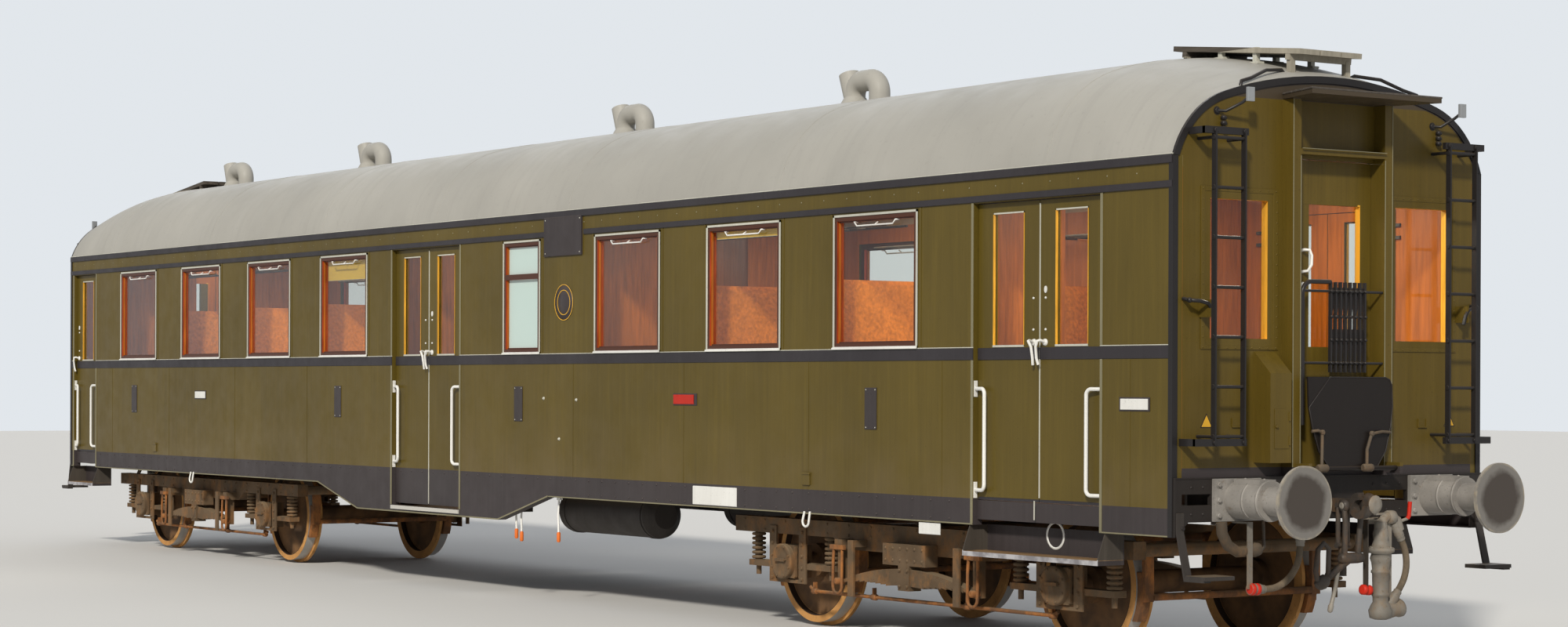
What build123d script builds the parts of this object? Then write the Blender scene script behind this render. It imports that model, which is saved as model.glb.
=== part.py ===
from build123d import *
import os
from math import acos, asin, atan2, cos, degrees, pi, radians, sin, tan

os.makedirs("parts", exist_ok=True)

# Bogie passenger coach, in millimetres.
# X runs along the coach, Y across it, Z up. The origin is on the centre line, halfway along,
# at the level of the wheel flanges' lowest points. The handbrake end is at +X.

# Levels. Heights called H_ are measured above the rail head, as on a drawing.
FLANGE_DEPTH = 28
RAIL = FLANGE_DEPTH


def level(height):
    """Height above the rail head, turned into Z."""
    return RAIL + height


# Body shell
BODY_HALF_L = 9350
BODY_HALF_W = 1385
WALL_T = 80
END_WALL_T = 70
ROOF_T = 50
H_EAVES = 3265
H_CREST = 4055
ROOF_SHOULDER_R = 855
ROOF_EAVES_ANGLE = 80
H_END_CREST = 3830
END_SHOULDER_R = 650
END_EAVES_ANGLE = 72
DOME_L = 1250
H_WALL_FOOT = 1047
H_SOLE_BOTTOM = 867
H_FLOOR = 1250
FLOOR_T = 50
SEAT = 0.3

INNER_Y = BODY_HALF_W - WALL_T
END_INNER_X = BODY_HALF_L - END_WALL_T

# Side windows: two rows of equal windows, which share the length that doors, closet and posts leave
WINDOW_W = 1010
H_WINDOW_SILL = 2075
H_WINDOW_HEAD = 3050
FAR_ROW_COUNT = 4
NEAR_ROW_COUNT = 3
FAR_POST = 401.5
MID_POST = 167.5
CLOSET_L = 1988.5
NEAR_POST = 285.5
CLOSET_WINDOW_INSET = 1116
CLOSET_WINDOW_W = 640

# End windows
END_WINDOW_Y = 825
END_WINDOW_W = 590

# Window frames and panes
FRAME_BAR = 45
FRAME_T = 60
FRAME_PROUD = 4
GLASS_T = 6
H_CLOSET_TRANSOM = 2740

# Side doors. The leaves sit in a recess and open inwards.
DOOR_RECESS = 40
LEAF_T = 40
DOOR_GAP = 6
HINGE_INSET = 20
H_DOOR_HEAD = 3055
H_END_LEAF_BOTTOM = 1060
H_END_SKIRT_BOTTOM = 905
H_MID_LEAF_BOTTOM = 722
LEAF_WINDOW_W = 330
H_LEAF_WINDOW_SILL = 2080
H_LEAF_WINDOW_HEAD = 2985
NEAR_DOOR_INSET = 685
NEAR_DOOR_W = 1314
MID_DOOR_W = 1305
FAR_DOOR_INSET = 92
FAR_DOOR_W = 666

# Fish-belly of the sole bar under the middle door
H_BELLY_BOTTOM = 640
BELLY_HALF_FLAT = 1360
BELLY_SLOPE = 860
SOLE_T = 10
SOLE_FLANGE = 80

# Step wells inside the doors
WELL_INNER_Y = 650
WELL_T = 22
H_END_WELL = 1036
H_MID_WELL = 690
H_MID_SILL = 700
MID_WELL_TREAD = 185

# Gangway portal, end doors, bridge plates
PORTAL_HALF_W = 450
PORTAL_COLUMN = 72
PORTAL_PROUD = 100
H_PORTAL_TOP = 3665
H_PORTAL_SHELF = 3310
PORTAL_SHELF_T = 35
END_DOOR_T = 40
H_END_DOOR_SILL = 1285
H_END_DOOR_HEAD = 3290
H_END_DOOR_WINDOW_HEAD = 3000
END_DOOR_RECESS = 25
END_DOOR_STILE = 95
END_OPENING_HALF_W = 378
CANOPY_HALF_W = 583
CANOPY_DEPTH = 400
CANOPY_T = 30
BRIDGE_HALF_W = 378
BRIDGE_T = 12
BRIDGE_L = 590
BRIDGE_CUT = 200
BRIDGE_PIN_R = 16
H_BRIDGE_PIN = 1290
BRIDGE_PIN_OUT = 190
BRIDGE_PIN_GAP = 18
BRIDGE_PIN_PLAY = 0.1
BRIDGE_LEAN = 3
BRACKET_W = 30
BRACKET_H = 70
BRACKET_NOSE = 34
BRIDGE_CORNER_R = 60
# The plate narrows towards its pin. Columns: height above the pin, half width.
BRIDGE_EDGE = [(0, 215), (110, 300), (260, 350), (400, BRIDGE_HALF_W), (BRIDGE_L, BRIDGE_HALF_W)]

# Headstocks, buffers, draw gear
H_HEADSTOCK_TOP = 1240
H_HEADSTOCK_BOTTOM = 960
HEADSTOCK_T = 30
H_SLOT_LOW = 1067
H_SLOT_HIGH = 1137
SLOT_INNER_Y = 260
SLOT_EDGE = 55
SLOT_GAP = 10
GUSSET_L = 110
BUFFER_Y = 875
H_BUFFER = 1098
BUFFER_OVERHANG = 650
BUFFER_PLATE_R = 229
BUFFER_PLATE_T = 22
BUFFER_HOUSING_R = 120
BUFFER_HOUSING_L = 330
BUFFER_COLLAR_R = 128
BUFFER_COLLAR_L = 30
BUFFER_STEM_R = 92
BUFFER_FLARE_R = 160
BUFFER_FLARE_L = 60
BUFFER_BASE_W = 400
BUFFER_BASE_H = 270
BUFFER_BASE_T = 25
BUFFER_TREAD_X0 = 60
BUFFER_TREAD_X1 = 290
BUFFER_TREAD_HALF = 70
BUFFER_TREAD_TOP = 134
BUFFER_TREAD_H = 40

H_DRAW = 1050
HOOK_W = 55
HOOK_H = 90
HOOK_SHANK = 150
HOOK_R = 85
HOOK_EYE_R = 38
SHACKLE_R = 16
SHACKLE_L = 260
SCREW_R = 26
SCREW_L = 200
BUFFER_PLAY = 0.1

# Roof fittings
VENT_SHIFTS = ((0, -252), (2, -222), (5, -138))
CLOSET_VENT_SHIFT = -238
VENT_PIPE_R = 85
VENT_FLANGE_R = 150
VENT_FLANGE_T = 12
VENT_RISE = 190
VENT_REACH = 330
VENT_DROP = 150
VENT_BEND_R = 110
VENT_HOOD_R = 120
VENT_HOOD_H = 60
VENT_HOOD_LEAN = 10
VENT_CHIMNEY_H = 200
VENT_TILT = 20
WALK_INSET = 20
WALK_L = 1200
WALK_DROP = 125
WALK_PLANK_W = 180
WALK_PLANK_T = 35
WALK_PLANK_GAP = 12
WALK_POST_INSET = 110
WALK_POST_W = 40
WALK_POST_Y = 250
WALK_POST_FOOT = 20
WALK_BEAM_HALF = 280
WALK_BEAM_T = 40
H_WALK = 4095

# Handles, steps and ladders
HANDLE_REACH = 130
HANDLE_OUT = 26
HANDLE_R = 13
HANDLE_BEND_R = 40
HANDLE_FOOT_T = 6
HANDLE_FOOT_W = 28
HANDLE_FOOT_H = 110
H_HANDLE_LOW = 1105
H_HANDLE_HIGH = 1795
STEP_OVERHANG = 45
STEP_OUTER_Y = 1440
STEP_BACK_Y = 1215
STEP_SHEET_T = 8
STEP_BOARD_T = 32
H_STEP_BOARD = 690
SILL_STRIP_T = 14
SILL_STRIP_H = 34
CORNER_STEP_DEPTH = 180
CORNER_STEP_Y0 = 1130
CORNER_STEP_Y1 = 1380
CORNER_STEP_T = 25
STRAP_T = 12
STRAP_W = 60
STRAP_LAP = 60
STRAP_SLANT = 75
H_CORNER_STEP = 610
LADDER_OUT = 150
LADDER_Y0 = 925
LADDER_Y1 = 1175
LADDER_BAR_T = 40
LADDER_BAR_W = 12
LADDER_FOOT = 55
RUNG_R = 11
RUNGS = 7
H_LADDER_LOW = 1445
H_LADDER_HIGH = 3430

# Inside
SEAT_H = 450
BACK_H = 1350
BENCH_T = 35
BENCH_SEAT_L = 480
BENCH_LEAN = 60
BENCH_BACK_GAP = 30
BENCH_WALL_GAP = 10
AISLE_HALF_W = 350
PARTITION_T = 40
H_PARTITION_TOP = 3200
H_AISLE_HEAD = 3150

# Bogies and wheelsets
PIVOT_INSET = 3050
WHEELBASE = 3200
WHEEL_R = 475
AXLE_H = WHEEL_R
WHEEL_INNER_Y = 680
WHEEL_W = 135
FLANGE_W = 30
TREAD_T = 55
AXLE_R = 80
JOURNAL_R = 60
JOURNAL_END_Y = 1080
BOX_COVER_R = 135
BOX_Y0 = 935
BOX_Y1 = 1130
BOX_HALF_W = 120
BOX_HALF_H = 125
JOURNAL_PLAY = 0.1
SIDE_FRAME_Y = 1010
SIDE_FRAME_T = 110
H_FRAME_TOP = 800
H_FRAME_BOTTOM = 680
H_FRAME_BELLY = 600
FRAME_HALF_L = 2330
SPRING_OFFSET = 485
SPRING_R = 55
SPRING_WIRE_R = 12
SPRING_CORE_R = 30
SPRING_TURNS = 6
SPRING_BOLT_R = 20
SPRING_BOLT_L = 70
H_SPRING_FOOT = 465
LEAF_HALF_L = 800
LEAF_W = 90
H_LEAF_CENTRE = 500
H_LEAF_EYE = 370
LEAF_PLATE_T = 12
LEAF_COUNT = 10
LEAF_SPRING_Y = 1125
BOGIE_PIVOT_R = 150
H_PIVOT = 810
PIVOT_GAP = 0.5
SHOE_GAP = 6
SHOE_T = 45
SHOE_W = 80

# Underframe members
H_CROSS_BOTTOM = 1085
CROSS_W = 100
SILL_Y = 250
SILL_W = 70
BOLSTER_HALF_L = 180

# Lattice gates, cabinet, lamp brackets
GATE_OUT = 80
GATE_BARS = 8
GATE_BAR_W = 14
GATE_BAR_T = 24
GATE_BAR_PITCH = 44
GATE_BUNDLE_Y = -95
GATE_RAIL_R = 9
GATE_RAIL_INSET = 60
HOOP_R = 15
HOOP_Y = -345
HOOP_BEND_R = 80
HOOP_CLAMP = 20
H_HOOP_FOOT = 1570
H_GATE_LOW = 1910
H_GATE_HIGH = 2495
CABINET_DEPTH = 150
CABINET_Y0 = -690
CABINET_Y1 = -505
H_CABINET_LOW = 1330
H_CABINET_FRONT = 1900
H_CABINET_TOP = 2040
LAMP_BRACKET_L = 110
LAMP_BRACKET_Y = 1160
LAMP_BRACKET_T = 12
LAMP_BRACKET_H = 110
H_LAMP_BRACKET = 2250

# Below the floor
TANK_INSET = 1170
TANK_L = 1350
TANK_Y = 850
TANK_R = 190
TANK_DISH = 70
TANK_DISH_R = 110
TANK_STRAP_INSET = 60
TANK_BAND_R = 196
H_TANK = 735
PULL_ROD_X0 = 1000
PULL_ROD_END = 2100
PULL_ROD_R = 20
H_PULL_ROD = 900

# Brake hoses, their cocks and holders, and the heating coupling
HOSE_R = 22
HOSE_ARC_SHARE = 0.45
COCK_R = 32
COCK_L = 60
HOLDER_R = 36
HOLDER_L = 80
PIPE_CLAMP = 30
PIPE_R = 20
PIPE_RUN = 180
ELBOW_R = 28
HOLDER_STRAP_W = 40
HEATER_OUT = 140
HEATER_Y = 280
HEATER_ELBOW = 80

# Blinds
BLIND_T = 3

# Wheel and bogie details
WEB_INSET = 55
WEB_T = 28
HUB_INSET = -10
HUB_R = 130
HUB_OUT = 15
FRAME_CLEAR = 40
FRAME_SLOPE = 120
TRANSOM_X = 480
TRANSOM_W = 120
H_TRANSOM_TOP = 770
HEADTUBE_R = 45
H_HEADTUBE = 740
BOGIE_BOLSTER_HALF = 170
H_BOLSTER_BOTTOM = 640
BOX_COVER_T = 30
ARM_T = 45
JOURNAL_END_GAP = 5
LEAF_TAPER = 0.8
HANGER_PAD = 45
SHACKLE_T = 30
BUCKLE_HALF = 65
BUCKLE_W = 110
H_BUCKLE_BOTTOM = 345
H_BUCKLE_TOP = 525
SADDLE_HALF = 250
POST_X = 625
POST_HALF = 35
POST_T = 16
H_POST_FOOT = 270
POST_ARM_H = 50
GUARD_IN = 150
GUARD_OUT = 240
GUARD_T = 14
H_GUARD_TOP = 740
H_GUARD_FOOT = 312
GUARD_TIE_H = 26
SHOE_Y0 = 725
SHOE_DROP = -60
SHOE_REACH = 150
SHOE_H = 330
SHOE_SINK = 5
HANGER_T = 30
BEAM_R = 25

# Door hinges: a pin through two brackets on the wall and a knuckle on the leaf
HINGE_PIN_R = 7
HINGE_PLAY = 0.1
KNUCKLE_R = 12
KNUCKLE_H = 60
HINGE_GAP = 2
HINGE_PLATE_T = 8
HINGE_PLATE_L = 40
BRACKET_HALF_T = 6
HINGE_ARM_L = 75
HINGE_PAD_L = 40
HINGE_ARM_H = 22
SIDE_HINGE_HEIGHTS = (1330, 2020, 2900)
END_HINGE_HEIGHTS = (1480, 2250, 3120)

# Values worked out from those above
Z_EAVES = level(H_EAVES)
Z_FLOOR = level(H_FLOOR)
Z_AXLE = level(AXLE_H)
DOME_X = BODY_HALF_L - DOME_L
HEADSTOCK_X = BODY_HALF_L + HEADSTOCK_T
BUFFER_FACE_X = BODY_HALF_L + BUFFER_OVERHANG
PIVOT_X = BODY_HALF_L - PIVOT_INSET
WALK_X0 = BODY_HALF_L - WALK_INSET - WALK_L
WALK_X1 = BODY_HALF_L - WALK_INSET

NEAR_DOOR_X1 = BODY_HALF_L - NEAR_DOOR_INSET
NEAR_DOOR_X0 = NEAR_DOOR_X1 - NEAR_DOOR_W
FAR_DOOR_X0 = -BODY_HALF_L + FAR_DOOR_INSET
FAR_DOOR_X1 = FAR_DOOR_X0 + FAR_DOOR_W
DOORS_AND_POSTS = FAR_POST + MID_POST + MID_DOOR_W + CLOSET_L + NEAR_POST
WINDOW_PITCH = (NEAR_DOOR_X0 - FAR_DOOR_X1 - DOORS_AND_POSTS) / (FAR_ROW_COUNT + NEAR_ROW_COUNT)
FAR_ROW_START = FAR_DOOR_X1 + FAR_POST + WINDOW_PITCH / 2
MID_DOOR_X0 = FAR_DOOR_X1 + FAR_POST + FAR_ROW_COUNT * WINDOW_PITCH + MID_POST
MID_DOOR_X1 = MID_DOOR_X0 + MID_DOOR_W
NEAR_ROW_START = MID_DOOR_X1 + CLOSET_L + WINDOW_PITCH / 2
CLOSET_WINDOW_X = MID_DOOR_X1 + CLOSET_WINDOW_INSET
NEAR_DOOR = (NEAR_DOOR_X0, NEAR_DOOR_X1)
MID_DOOR = (MID_DOOR_X0, MID_DOOR_X1)
FAR_DOOR = (FAR_DOOR_X0, FAR_DOOR_X1)
LEAF_INNER_Y = BODY_HALF_W - DOOR_RECESS - LEAF_T
SIDE_WINDOWS = [FAR_ROW_START + i * WINDOW_PITCH for i in range(FAR_ROW_COUNT)]
SIDE_WINDOWS += [NEAR_ROW_START + i * WINDOW_PITCH for i in range(NEAR_ROW_COUNT)]
VENT_X = [SIDE_WINDOWS[i] + shift for i, shift in VENT_SHIFTS] + [CLOSET_WINDOW_X + CLOSET_VENT_SHIFT]
TANK_X0 = MID_DOOR_X1 + TANK_INSET
TANK_X1 = TANK_X0 + TANK_L
PULL_ROD_X1 = PIVOT_X - PULL_ROD_END

WINDOW_H = H_WINDOW_HEAD - H_WINDOW_SILL
END_WINDOW_Z = level((H_WINDOW_HEAD + H_WINDOW_SILL) / 2)
CROSS_MEMBERS = [x for x in SIDE_WINDOWS if abs(x) < PIVOT_X - WHEELBASE]

BAY_HALF = WINDOW_PITCH / 2
BENCH_ROWS = [x - BAY_HALF for x in SIDE_WINDOWS[1:FAR_ROW_COUNT]]
BENCH_ROWS += [x - BAY_HALF for x in SIDE_WINDOWS[FAR_ROW_COUNT + 1:]]
PARTITION_X = [SIDE_WINDOWS[0] - BAY_HALF, SIDE_WINDOWS[FAR_ROW_COUNT - 1] + BAY_HALF,
               SIDE_WINDOWS[FAR_ROW_COUNT] - BAY_HALF, SIDE_WINDOWS[-1] + BAY_HALF]

BLIND_ROWS = [(SIDE_WINDOWS[3], 2500), (SIDE_WINDOWS[5], 2300)]

# Openings in each side: centre x, width
OPENINGS = [(x, WINDOW_W) for x in SIDE_WINDOWS] + [(CLOSET_WINDOW_X, CLOSET_WINDOW_W)]


def block(x0, x1, y0, y1, z0, z1, mode=Mode.ADD):
    """A box between two corners."""
    with Locations(((x0 + x1) / 2, (y0 + y1) / 2, (z0 + z1) / 2)):
        Box(abs(x1 - x0), abs(y1 - y0), abs(z1 - z0), mode=mode)


def rod(start, end, radius, mode=Mode.ADD):
    """A round bar from one point to another."""
    axis = Vector(*end) - Vector(*start)
    with Locations(Plane(origin=start, z_dir=axis)):
        Cylinder(radius, axis.length, align=(Align.CENTER, Align.CENTER, Align.MIN), mode=mode)


def bent_rod(points, bend_r, radius):
    """A round bar along straight runs with round bends."""
    with BuildLine() as path:
        FilletPolyline(*points, radius=bend_r)
    with BuildSketch(Plane(origin=path.line @ 0, z_dir=path.line % 0)) as section:
        Circle(radius)
    sweep(section.sketch, path=path.line)


def save(builder, name):
    """Label a finished piece and write it."""
    builder.part.label = name
    export_step(builder.part, "parts/" + name + ".step")


def arch_section(droop):
    """Shoulder radius, eaves angle and crest Z of the roof's section; droop runs from 0 to 1 at the end."""
    shoulder_r = ROOF_SHOULDER_R + droop * (END_SHOULDER_R - ROOF_SHOULDER_R)
    angle = radians(ROOF_EAVES_ANGLE + droop * (END_EAVES_ANGLE - ROOF_EAVES_ANGLE))
    crest = level(H_CREST + droop * (H_END_CREST - H_CREST))
    return shoulder_r, angle, crest


def crown(droop):
    """Shoulder centre (y, z), crown radius and crown centre Z of the roof's section."""
    shoulder_r, angle, crest = arch_section(droop)
    shoulder_y = BODY_HALF_W - shoulder_r * sin(angle)
    shoulder_z = Z_EAVES - shoulder_r * cos(angle)
    rise = crest - shoulder_z
    crown_r = (shoulder_y**2 + rise**2 - shoulder_r**2) / (2 * (rise - shoulder_r))
    return shoulder_y, shoulder_z, crown_r, crest - crown_r


def arch_edges(inset, droop=0):
    """Draw the roof arch, inset from the skin: two shoulder arcs and a crown arc. Returns its foot."""
    shoulder_r, angle, crest = arch_section(droop)
    shoulder_y, shoulder_z, crown_r, crown_z = crown(droop)
    tangent = asin(shoulder_y / (crown_r - shoulder_r))
    r = shoulder_r - inset
    low = acos((Z_EAVES - shoulder_z) / r)
    middle = (low + tangent) / 2
    foot = (shoulder_y + r * sin(low), Z_EAVES)
    bend = (shoulder_y + r * sin(middle), shoulder_z + r * cos(middle))
    join = ((crown_r - inset) * sin(tangent), crown_z + (crown_r - inset) * cos(tangent))
    top = (0, crest - inset)
    ThreePointArc(foot, bend, join)
    ThreePointArc(join, top, (-join[0], join[1]))
    ThreePointArc((-join[0], join[1]), (-bend[0], bend[1]), (-foot[0], foot[1]))
    return foot


def droop_at(x):
    """How far the roof's section has come down at x, from 0 on the straight part to 1 at the end."""
    return (max(0, abs(x) - DOME_X) / (BODY_HALF_L - DOME_X)) ** 2


def roof_top(x, y):
    """Z of the roof's skin near the ridge."""
    shoulder_y, shoulder_z, crown_r, crown_z = crown(droop_at(x))
    return crown_z + (crown_r**2 - y**2) ** 0.5


# Side walls
def side_wall(side, name):
    outer = side * BODY_HALF_W
    inner = side * INNER_Y
    foot = level(H_WALL_FOOT)
    with BuildPart() as wall:
        block(-BODY_HALF_L, BODY_HALF_L, inner, outer, foot, Z_EAVES)
        for x, width in OPENINGS:
            block(x - width / 2, x + width / 2, inner, outer,
                  level(H_WINDOW_SILL), level(H_WINDOW_HEAD), Mode.SUBTRACT)
        for x0, x1 in (NEAR_DOOR, MID_DOOR, FAR_DOOR):
            block(x0, x1, inner, outer, foot, level(H_DOOR_HEAD), Mode.SUBTRACT)
    save(wall, name)


side_wall(-1, "side_wall_left")
side_wall(1, "side_wall_right")


# Roof: a barrel with a drawn-down dome at each end, hollowed by the same sections inset
def roof_solid(inset):
    with BuildPart() as solid:
        with BuildSketch(Plane.YZ.offset(-DOME_X)):
            with BuildLine():
                foot = arch_edges(inset)
                Line((-foot[0], foot[1]), foot)
            make_face()
        extrude(amount=2 * DOME_X)
    for end in (-1, 1):
        with BuildPart() as dome:
            for x in (DOME_X, (DOME_X + BODY_HALF_L) / 2, BODY_HALF_L):
                with BuildSketch(Plane.YZ.offset(end * x)):
                    with BuildLine():
                        foot = arch_edges(inset, droop_at(x))
                        Line((-foot[0], foot[1]), foot)
                    make_face()
            loft()
        with solid:
            add(dome.part)
    return solid.part


with BuildPart() as roof:
    add(roof_solid(0))
    add(roof_solid(ROOF_T), mode=Mode.SUBTRACT)
save(roof, "roof")


# End walls, between the side walls and under the roof
def end_wall(end, name):
    plane = Plane.YZ.offset(end * BODY_HALF_L)
    with BuildPart() as wall:
        with BuildSketch(plane):
            with BuildLine():
                foot = arch_edges(ROOF_T, 1)
                Line(foot, (INNER_Y, Z_EAVES))
                Line((INNER_Y, Z_EAVES), (INNER_Y, level(H_HEADSTOCK_TOP)))
                Line((INNER_Y, level(H_HEADSTOCK_TOP)), (-INNER_Y, level(H_HEADSTOCK_TOP)))
                Line((-INNER_Y, level(H_HEADSTOCK_TOP)), (-INNER_Y, Z_EAVES))
                Line((-INNER_Y, Z_EAVES), (-foot[0], Z_EAVES))
            make_face()
            with Locations((-END_WINDOW_Y, END_WINDOW_Z), (END_WINDOW_Y, END_WINDOW_Z)):
                Rectangle(END_WINDOW_W, WINDOW_H, mode=Mode.SUBTRACT)
            with Locations((0, (level(H_END_DOOR_SILL) + level(H_END_DOOR_HEAD)) / 2)):
                Rectangle(2 * END_OPENING_HALF_W, H_END_DOOR_HEAD - H_END_DOOR_SILL, mode=Mode.SUBTRACT)
        extrude(amount=-end * END_WALL_T)
    save(wall, name)


end_wall(1, "end_wall_near")
end_wall(-1, "end_wall_far")


# Window frames: a ring in each opening, with a transom in the closet windows
def frame_ring(x, width, side):
    outer = side * (BODY_HALF_W + FRAME_PROUD)
    inner = side * (BODY_HALF_W + FRAME_PROUD - FRAME_T)
    x0 = x - width / 2
    x1 = x + width / 2
    z0 = level(H_WINDOW_SILL)
    z1 = level(H_WINDOW_HEAD)
    block(x0, x1, inner, outer, z0, z1)
    block(x0 + FRAME_BAR, x1 - FRAME_BAR, inner, outer, z0 + FRAME_BAR, z1 - FRAME_BAR, Mode.SUBTRACT)


with BuildPart() as window_frames:
    for side in (-1, 1):
        for x, width in OPENINGS:
            frame_ring(x, width, side)
        transom_z = level(H_CLOSET_TRANSOM)
        block(CLOSET_WINDOW_X - CLOSET_WINDOW_W / 2, CLOSET_WINDOW_X + CLOSET_WINDOW_W / 2,
              side * (BODY_HALF_W + FRAME_PROUD), side * (BODY_HALF_W + FRAME_PROUD - FRAME_T),
              transom_z - FRAME_BAR / 2, transom_z + FRAME_BAR / 2)
    for end in (-1, 1):
        outer = end * (BODY_HALF_L + FRAME_PROUD)
        inner = end * (BODY_HALF_L + FRAME_PROUD - FRAME_T)
        for y in (-END_WINDOW_Y, END_WINDOW_Y):
            y0 = y - END_WINDOW_W / 2
            y1 = y + END_WINDOW_W / 2
            z0 = level(H_WINDOW_SILL)
            z1 = level(H_WINDOW_HEAD)
            block(inner, outer, y0, y1, z0, z1)
            block(inner, outer, y0 + FRAME_BAR, y1 - FRAME_BAR, z0 + FRAME_BAR, z1 - FRAME_BAR,
                  Mode.SUBTRACT)
save(window_frames, "window_frames")


# Panes, seated in the frames
with BuildPart() as window_glass:
    glass_y = BODY_HALF_W + FRAME_PROUD - FRAME_T / 2
    glass_x = BODY_HALF_L + FRAME_PROUD - FRAME_T / 2
    z0 = level(H_WINDOW_SILL) + FRAME_BAR
    z1 = level(H_WINDOW_HEAD) - FRAME_BAR
    for side in (-1, 1):
        y0 = side * glass_y
        y1 = side * (glass_y - GLASS_T)
        for x in SIDE_WINDOWS:
            block(x - WINDOW_W / 2 + FRAME_BAR, x + WINDOW_W / 2 - FRAME_BAR, y0, y1, z0, z1)
        half = CLOSET_WINDOW_W / 2 - FRAME_BAR
        transom_z = level(H_CLOSET_TRANSOM)
        block(CLOSET_WINDOW_X - half, CLOSET_WINDOW_X + half, y0, y1, z0, transom_z - FRAME_BAR / 2)
        block(CLOSET_WINDOW_X - half, CLOSET_WINDOW_X + half, y0, y1, transom_z + FRAME_BAR / 2, z1)
    for end in (-1, 1):
        for y in (-END_WINDOW_Y, END_WINDOW_Y):
            half = END_WINDOW_W / 2 - FRAME_BAR
            block(end * glass_x, end * (glass_x - GLASS_T), y - half, y + half, z0, z1)
save(window_glass, "window_glass")


# Door hinges, drawn once: X runs from the axis towards the leaf's free edge and Y outwards.
def make_knuckle(leaf_y):
    """The leaf's share: a barrel on a plate that reaches out to the leaf's inner face."""
    with BuildPart() as knuckle:
        Cylinder(KNUCKLE_R, KNUCKLE_H)
        block(0, HINGE_PLATE_L, KNUCKLE_R - HINGE_PLATE_T, leaf_y, -KNUCKLE_H / 2, KNUCKLE_H / 2)
    return knuckle.part


END_LEAF_Y = KNUCKLE_R + END_WALL_T - END_DOOR_RECESS - END_DOOR_T
side_knuckle = make_knuckle(KNUCKLE_R)
end_knuckle = make_knuckle(END_LEAF_Y)

with BuildPart() as hinge_bracket:
    hinge_reach = KNUCKLE_H / 2 + HINGE_GAP + HINGE_ARM_H
    Cylinder(HINGE_PIN_R, 2 * hinge_reach)
    for z0 in (-hinge_reach, hinge_reach - HINGE_ARM_H):
        block(-HINGE_ARM_L, 0, -BRACKET_HALF_T, BRACKET_HALF_T, z0, z0 + HINGE_ARM_H)
        block(-HINGE_ARM_L, HINGE_PAD_L - HINGE_ARM_L, BRACKET_HALF_T, KNUCKLE_R, z0, z0 + HINGE_ARM_H)


def hinge_planes(axis, along, out, heights):
    """The planes of one door's hinges."""
    turn = along[0] * out[1] - along[1] * out[0]
    return [Plane(origin=(*axis, level(h)), x_dir=(*along, 0), z_dir=(0, 0, turn)) for h in heights]


def side_hinge(opening, hinge_side, side):
    """The hinge planes of a side door's leaf."""
    jamb = opening[0] if hinge_side < 0 else opening[1]
    axis = (jamb - hinge_side * (DOOR_GAP + HINGE_INSET), side * (INNER_Y - KNUCKLE_R))
    return hinge_planes(axis, (-hinge_side, 0), (0, side), SIDE_HINGE_HEIGHTS)


def end_hinge(end):
    """The hinge planes of an end door."""
    axis = (end * (END_INNER_X - KNUCKLE_R), -END_OPENING_HALF_W + DOOR_GAP + HINGE_INSET)
    return hinge_planes(axis, (0, 1), (end, 0), END_HINGE_HEIGHTS)


def add_knuckles(knuckle, planes):
    """Fuse bored knuckles to the leaf that is being built."""
    with Locations(*planes):
        add(knuckle)
        Cylinder(HINGE_PIN_R + HINGE_PLAY, KNUCKLE_H, mode=Mode.SUBTRACT)


# Door leaves. Each row: name, the opening it closes, the jamb that carries its hinge, double or single.
def leaf_span(opening, hinge_side, double):
    """X from the hinge edge to the free edge of a closed leaf."""
    x0, x1 = opening
    hinge_edge = x0 + DOOR_GAP if hinge_side < 0 else x1 - DOOR_GAP
    if double:
        free_edge = (x0 + x1) / 2 + hinge_side * DOOR_GAP / 2
    else:
        free_edge = x1 - DOOR_GAP if hinge_side < 0 else x0 + DOOR_GAP
    return hinge_edge, free_edge


def door_leaf(name, opening, hinge_side, double, side, bottom):
    hinge_edge, free_edge = leaf_span(opening, hinge_side, double)
    x0 = min(hinge_edge, free_edge)
    x1 = max(hinge_edge, free_edge)
    middle = (x0 + x1) / 2
    outer = side * (BODY_HALF_W - DOOR_RECESS)
    inner = side * LEAF_INNER_Y
    top = level(H_DOOR_HEAD) - DOOR_GAP
    pane_y = side * (LEAF_INNER_Y + LEAF_T / 2)
    with BuildPart() as leaf:
        block(x0, x1, inner, outer, level(bottom), top)
        block(middle - LEAF_WINDOW_W / 2, middle + LEAF_WINDOW_W / 2, inner, outer,
              level(H_LEAF_WINDOW_SILL), level(H_LEAF_WINDOW_HEAD), Mode.SUBTRACT)
        block(middle - LEAF_WINDOW_W / 2, middle + LEAF_WINDOW_W / 2,
              pane_y - GLASS_T / 2, pane_y + GLASS_T / 2, level(H_LEAF_WINDOW_SILL), level(H_LEAF_WINDOW_HEAD))
        add_knuckles(side_knuckle, side_hinge(opening, hinge_side, side))
    save(leaf, name)


SIDE_LEAVES = [
    ("door_near_a_", NEAR_DOOR, -1, True, H_END_LEAF_BOTTOM),
    ("door_near_b_", NEAR_DOOR, 1, True, H_END_LEAF_BOTTOM),
    ("door_mid_a_", MID_DOOR, -1, True, H_MID_LEAF_BOTTOM),
    ("door_mid_b_", MID_DOOR, 1, True, H_MID_LEAF_BOTTOM),
    ("door_far_", FAR_DOOR, 1, False, H_END_LEAF_BOTTOM),
]

for side, side_name in ((-1, "left"), (1, "right")):
    for name, opening, hinge_side, double, bottom in SIDE_LEAVES:
        door_leaf(name + side_name, opening, hinge_side, double, side, bottom)


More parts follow.
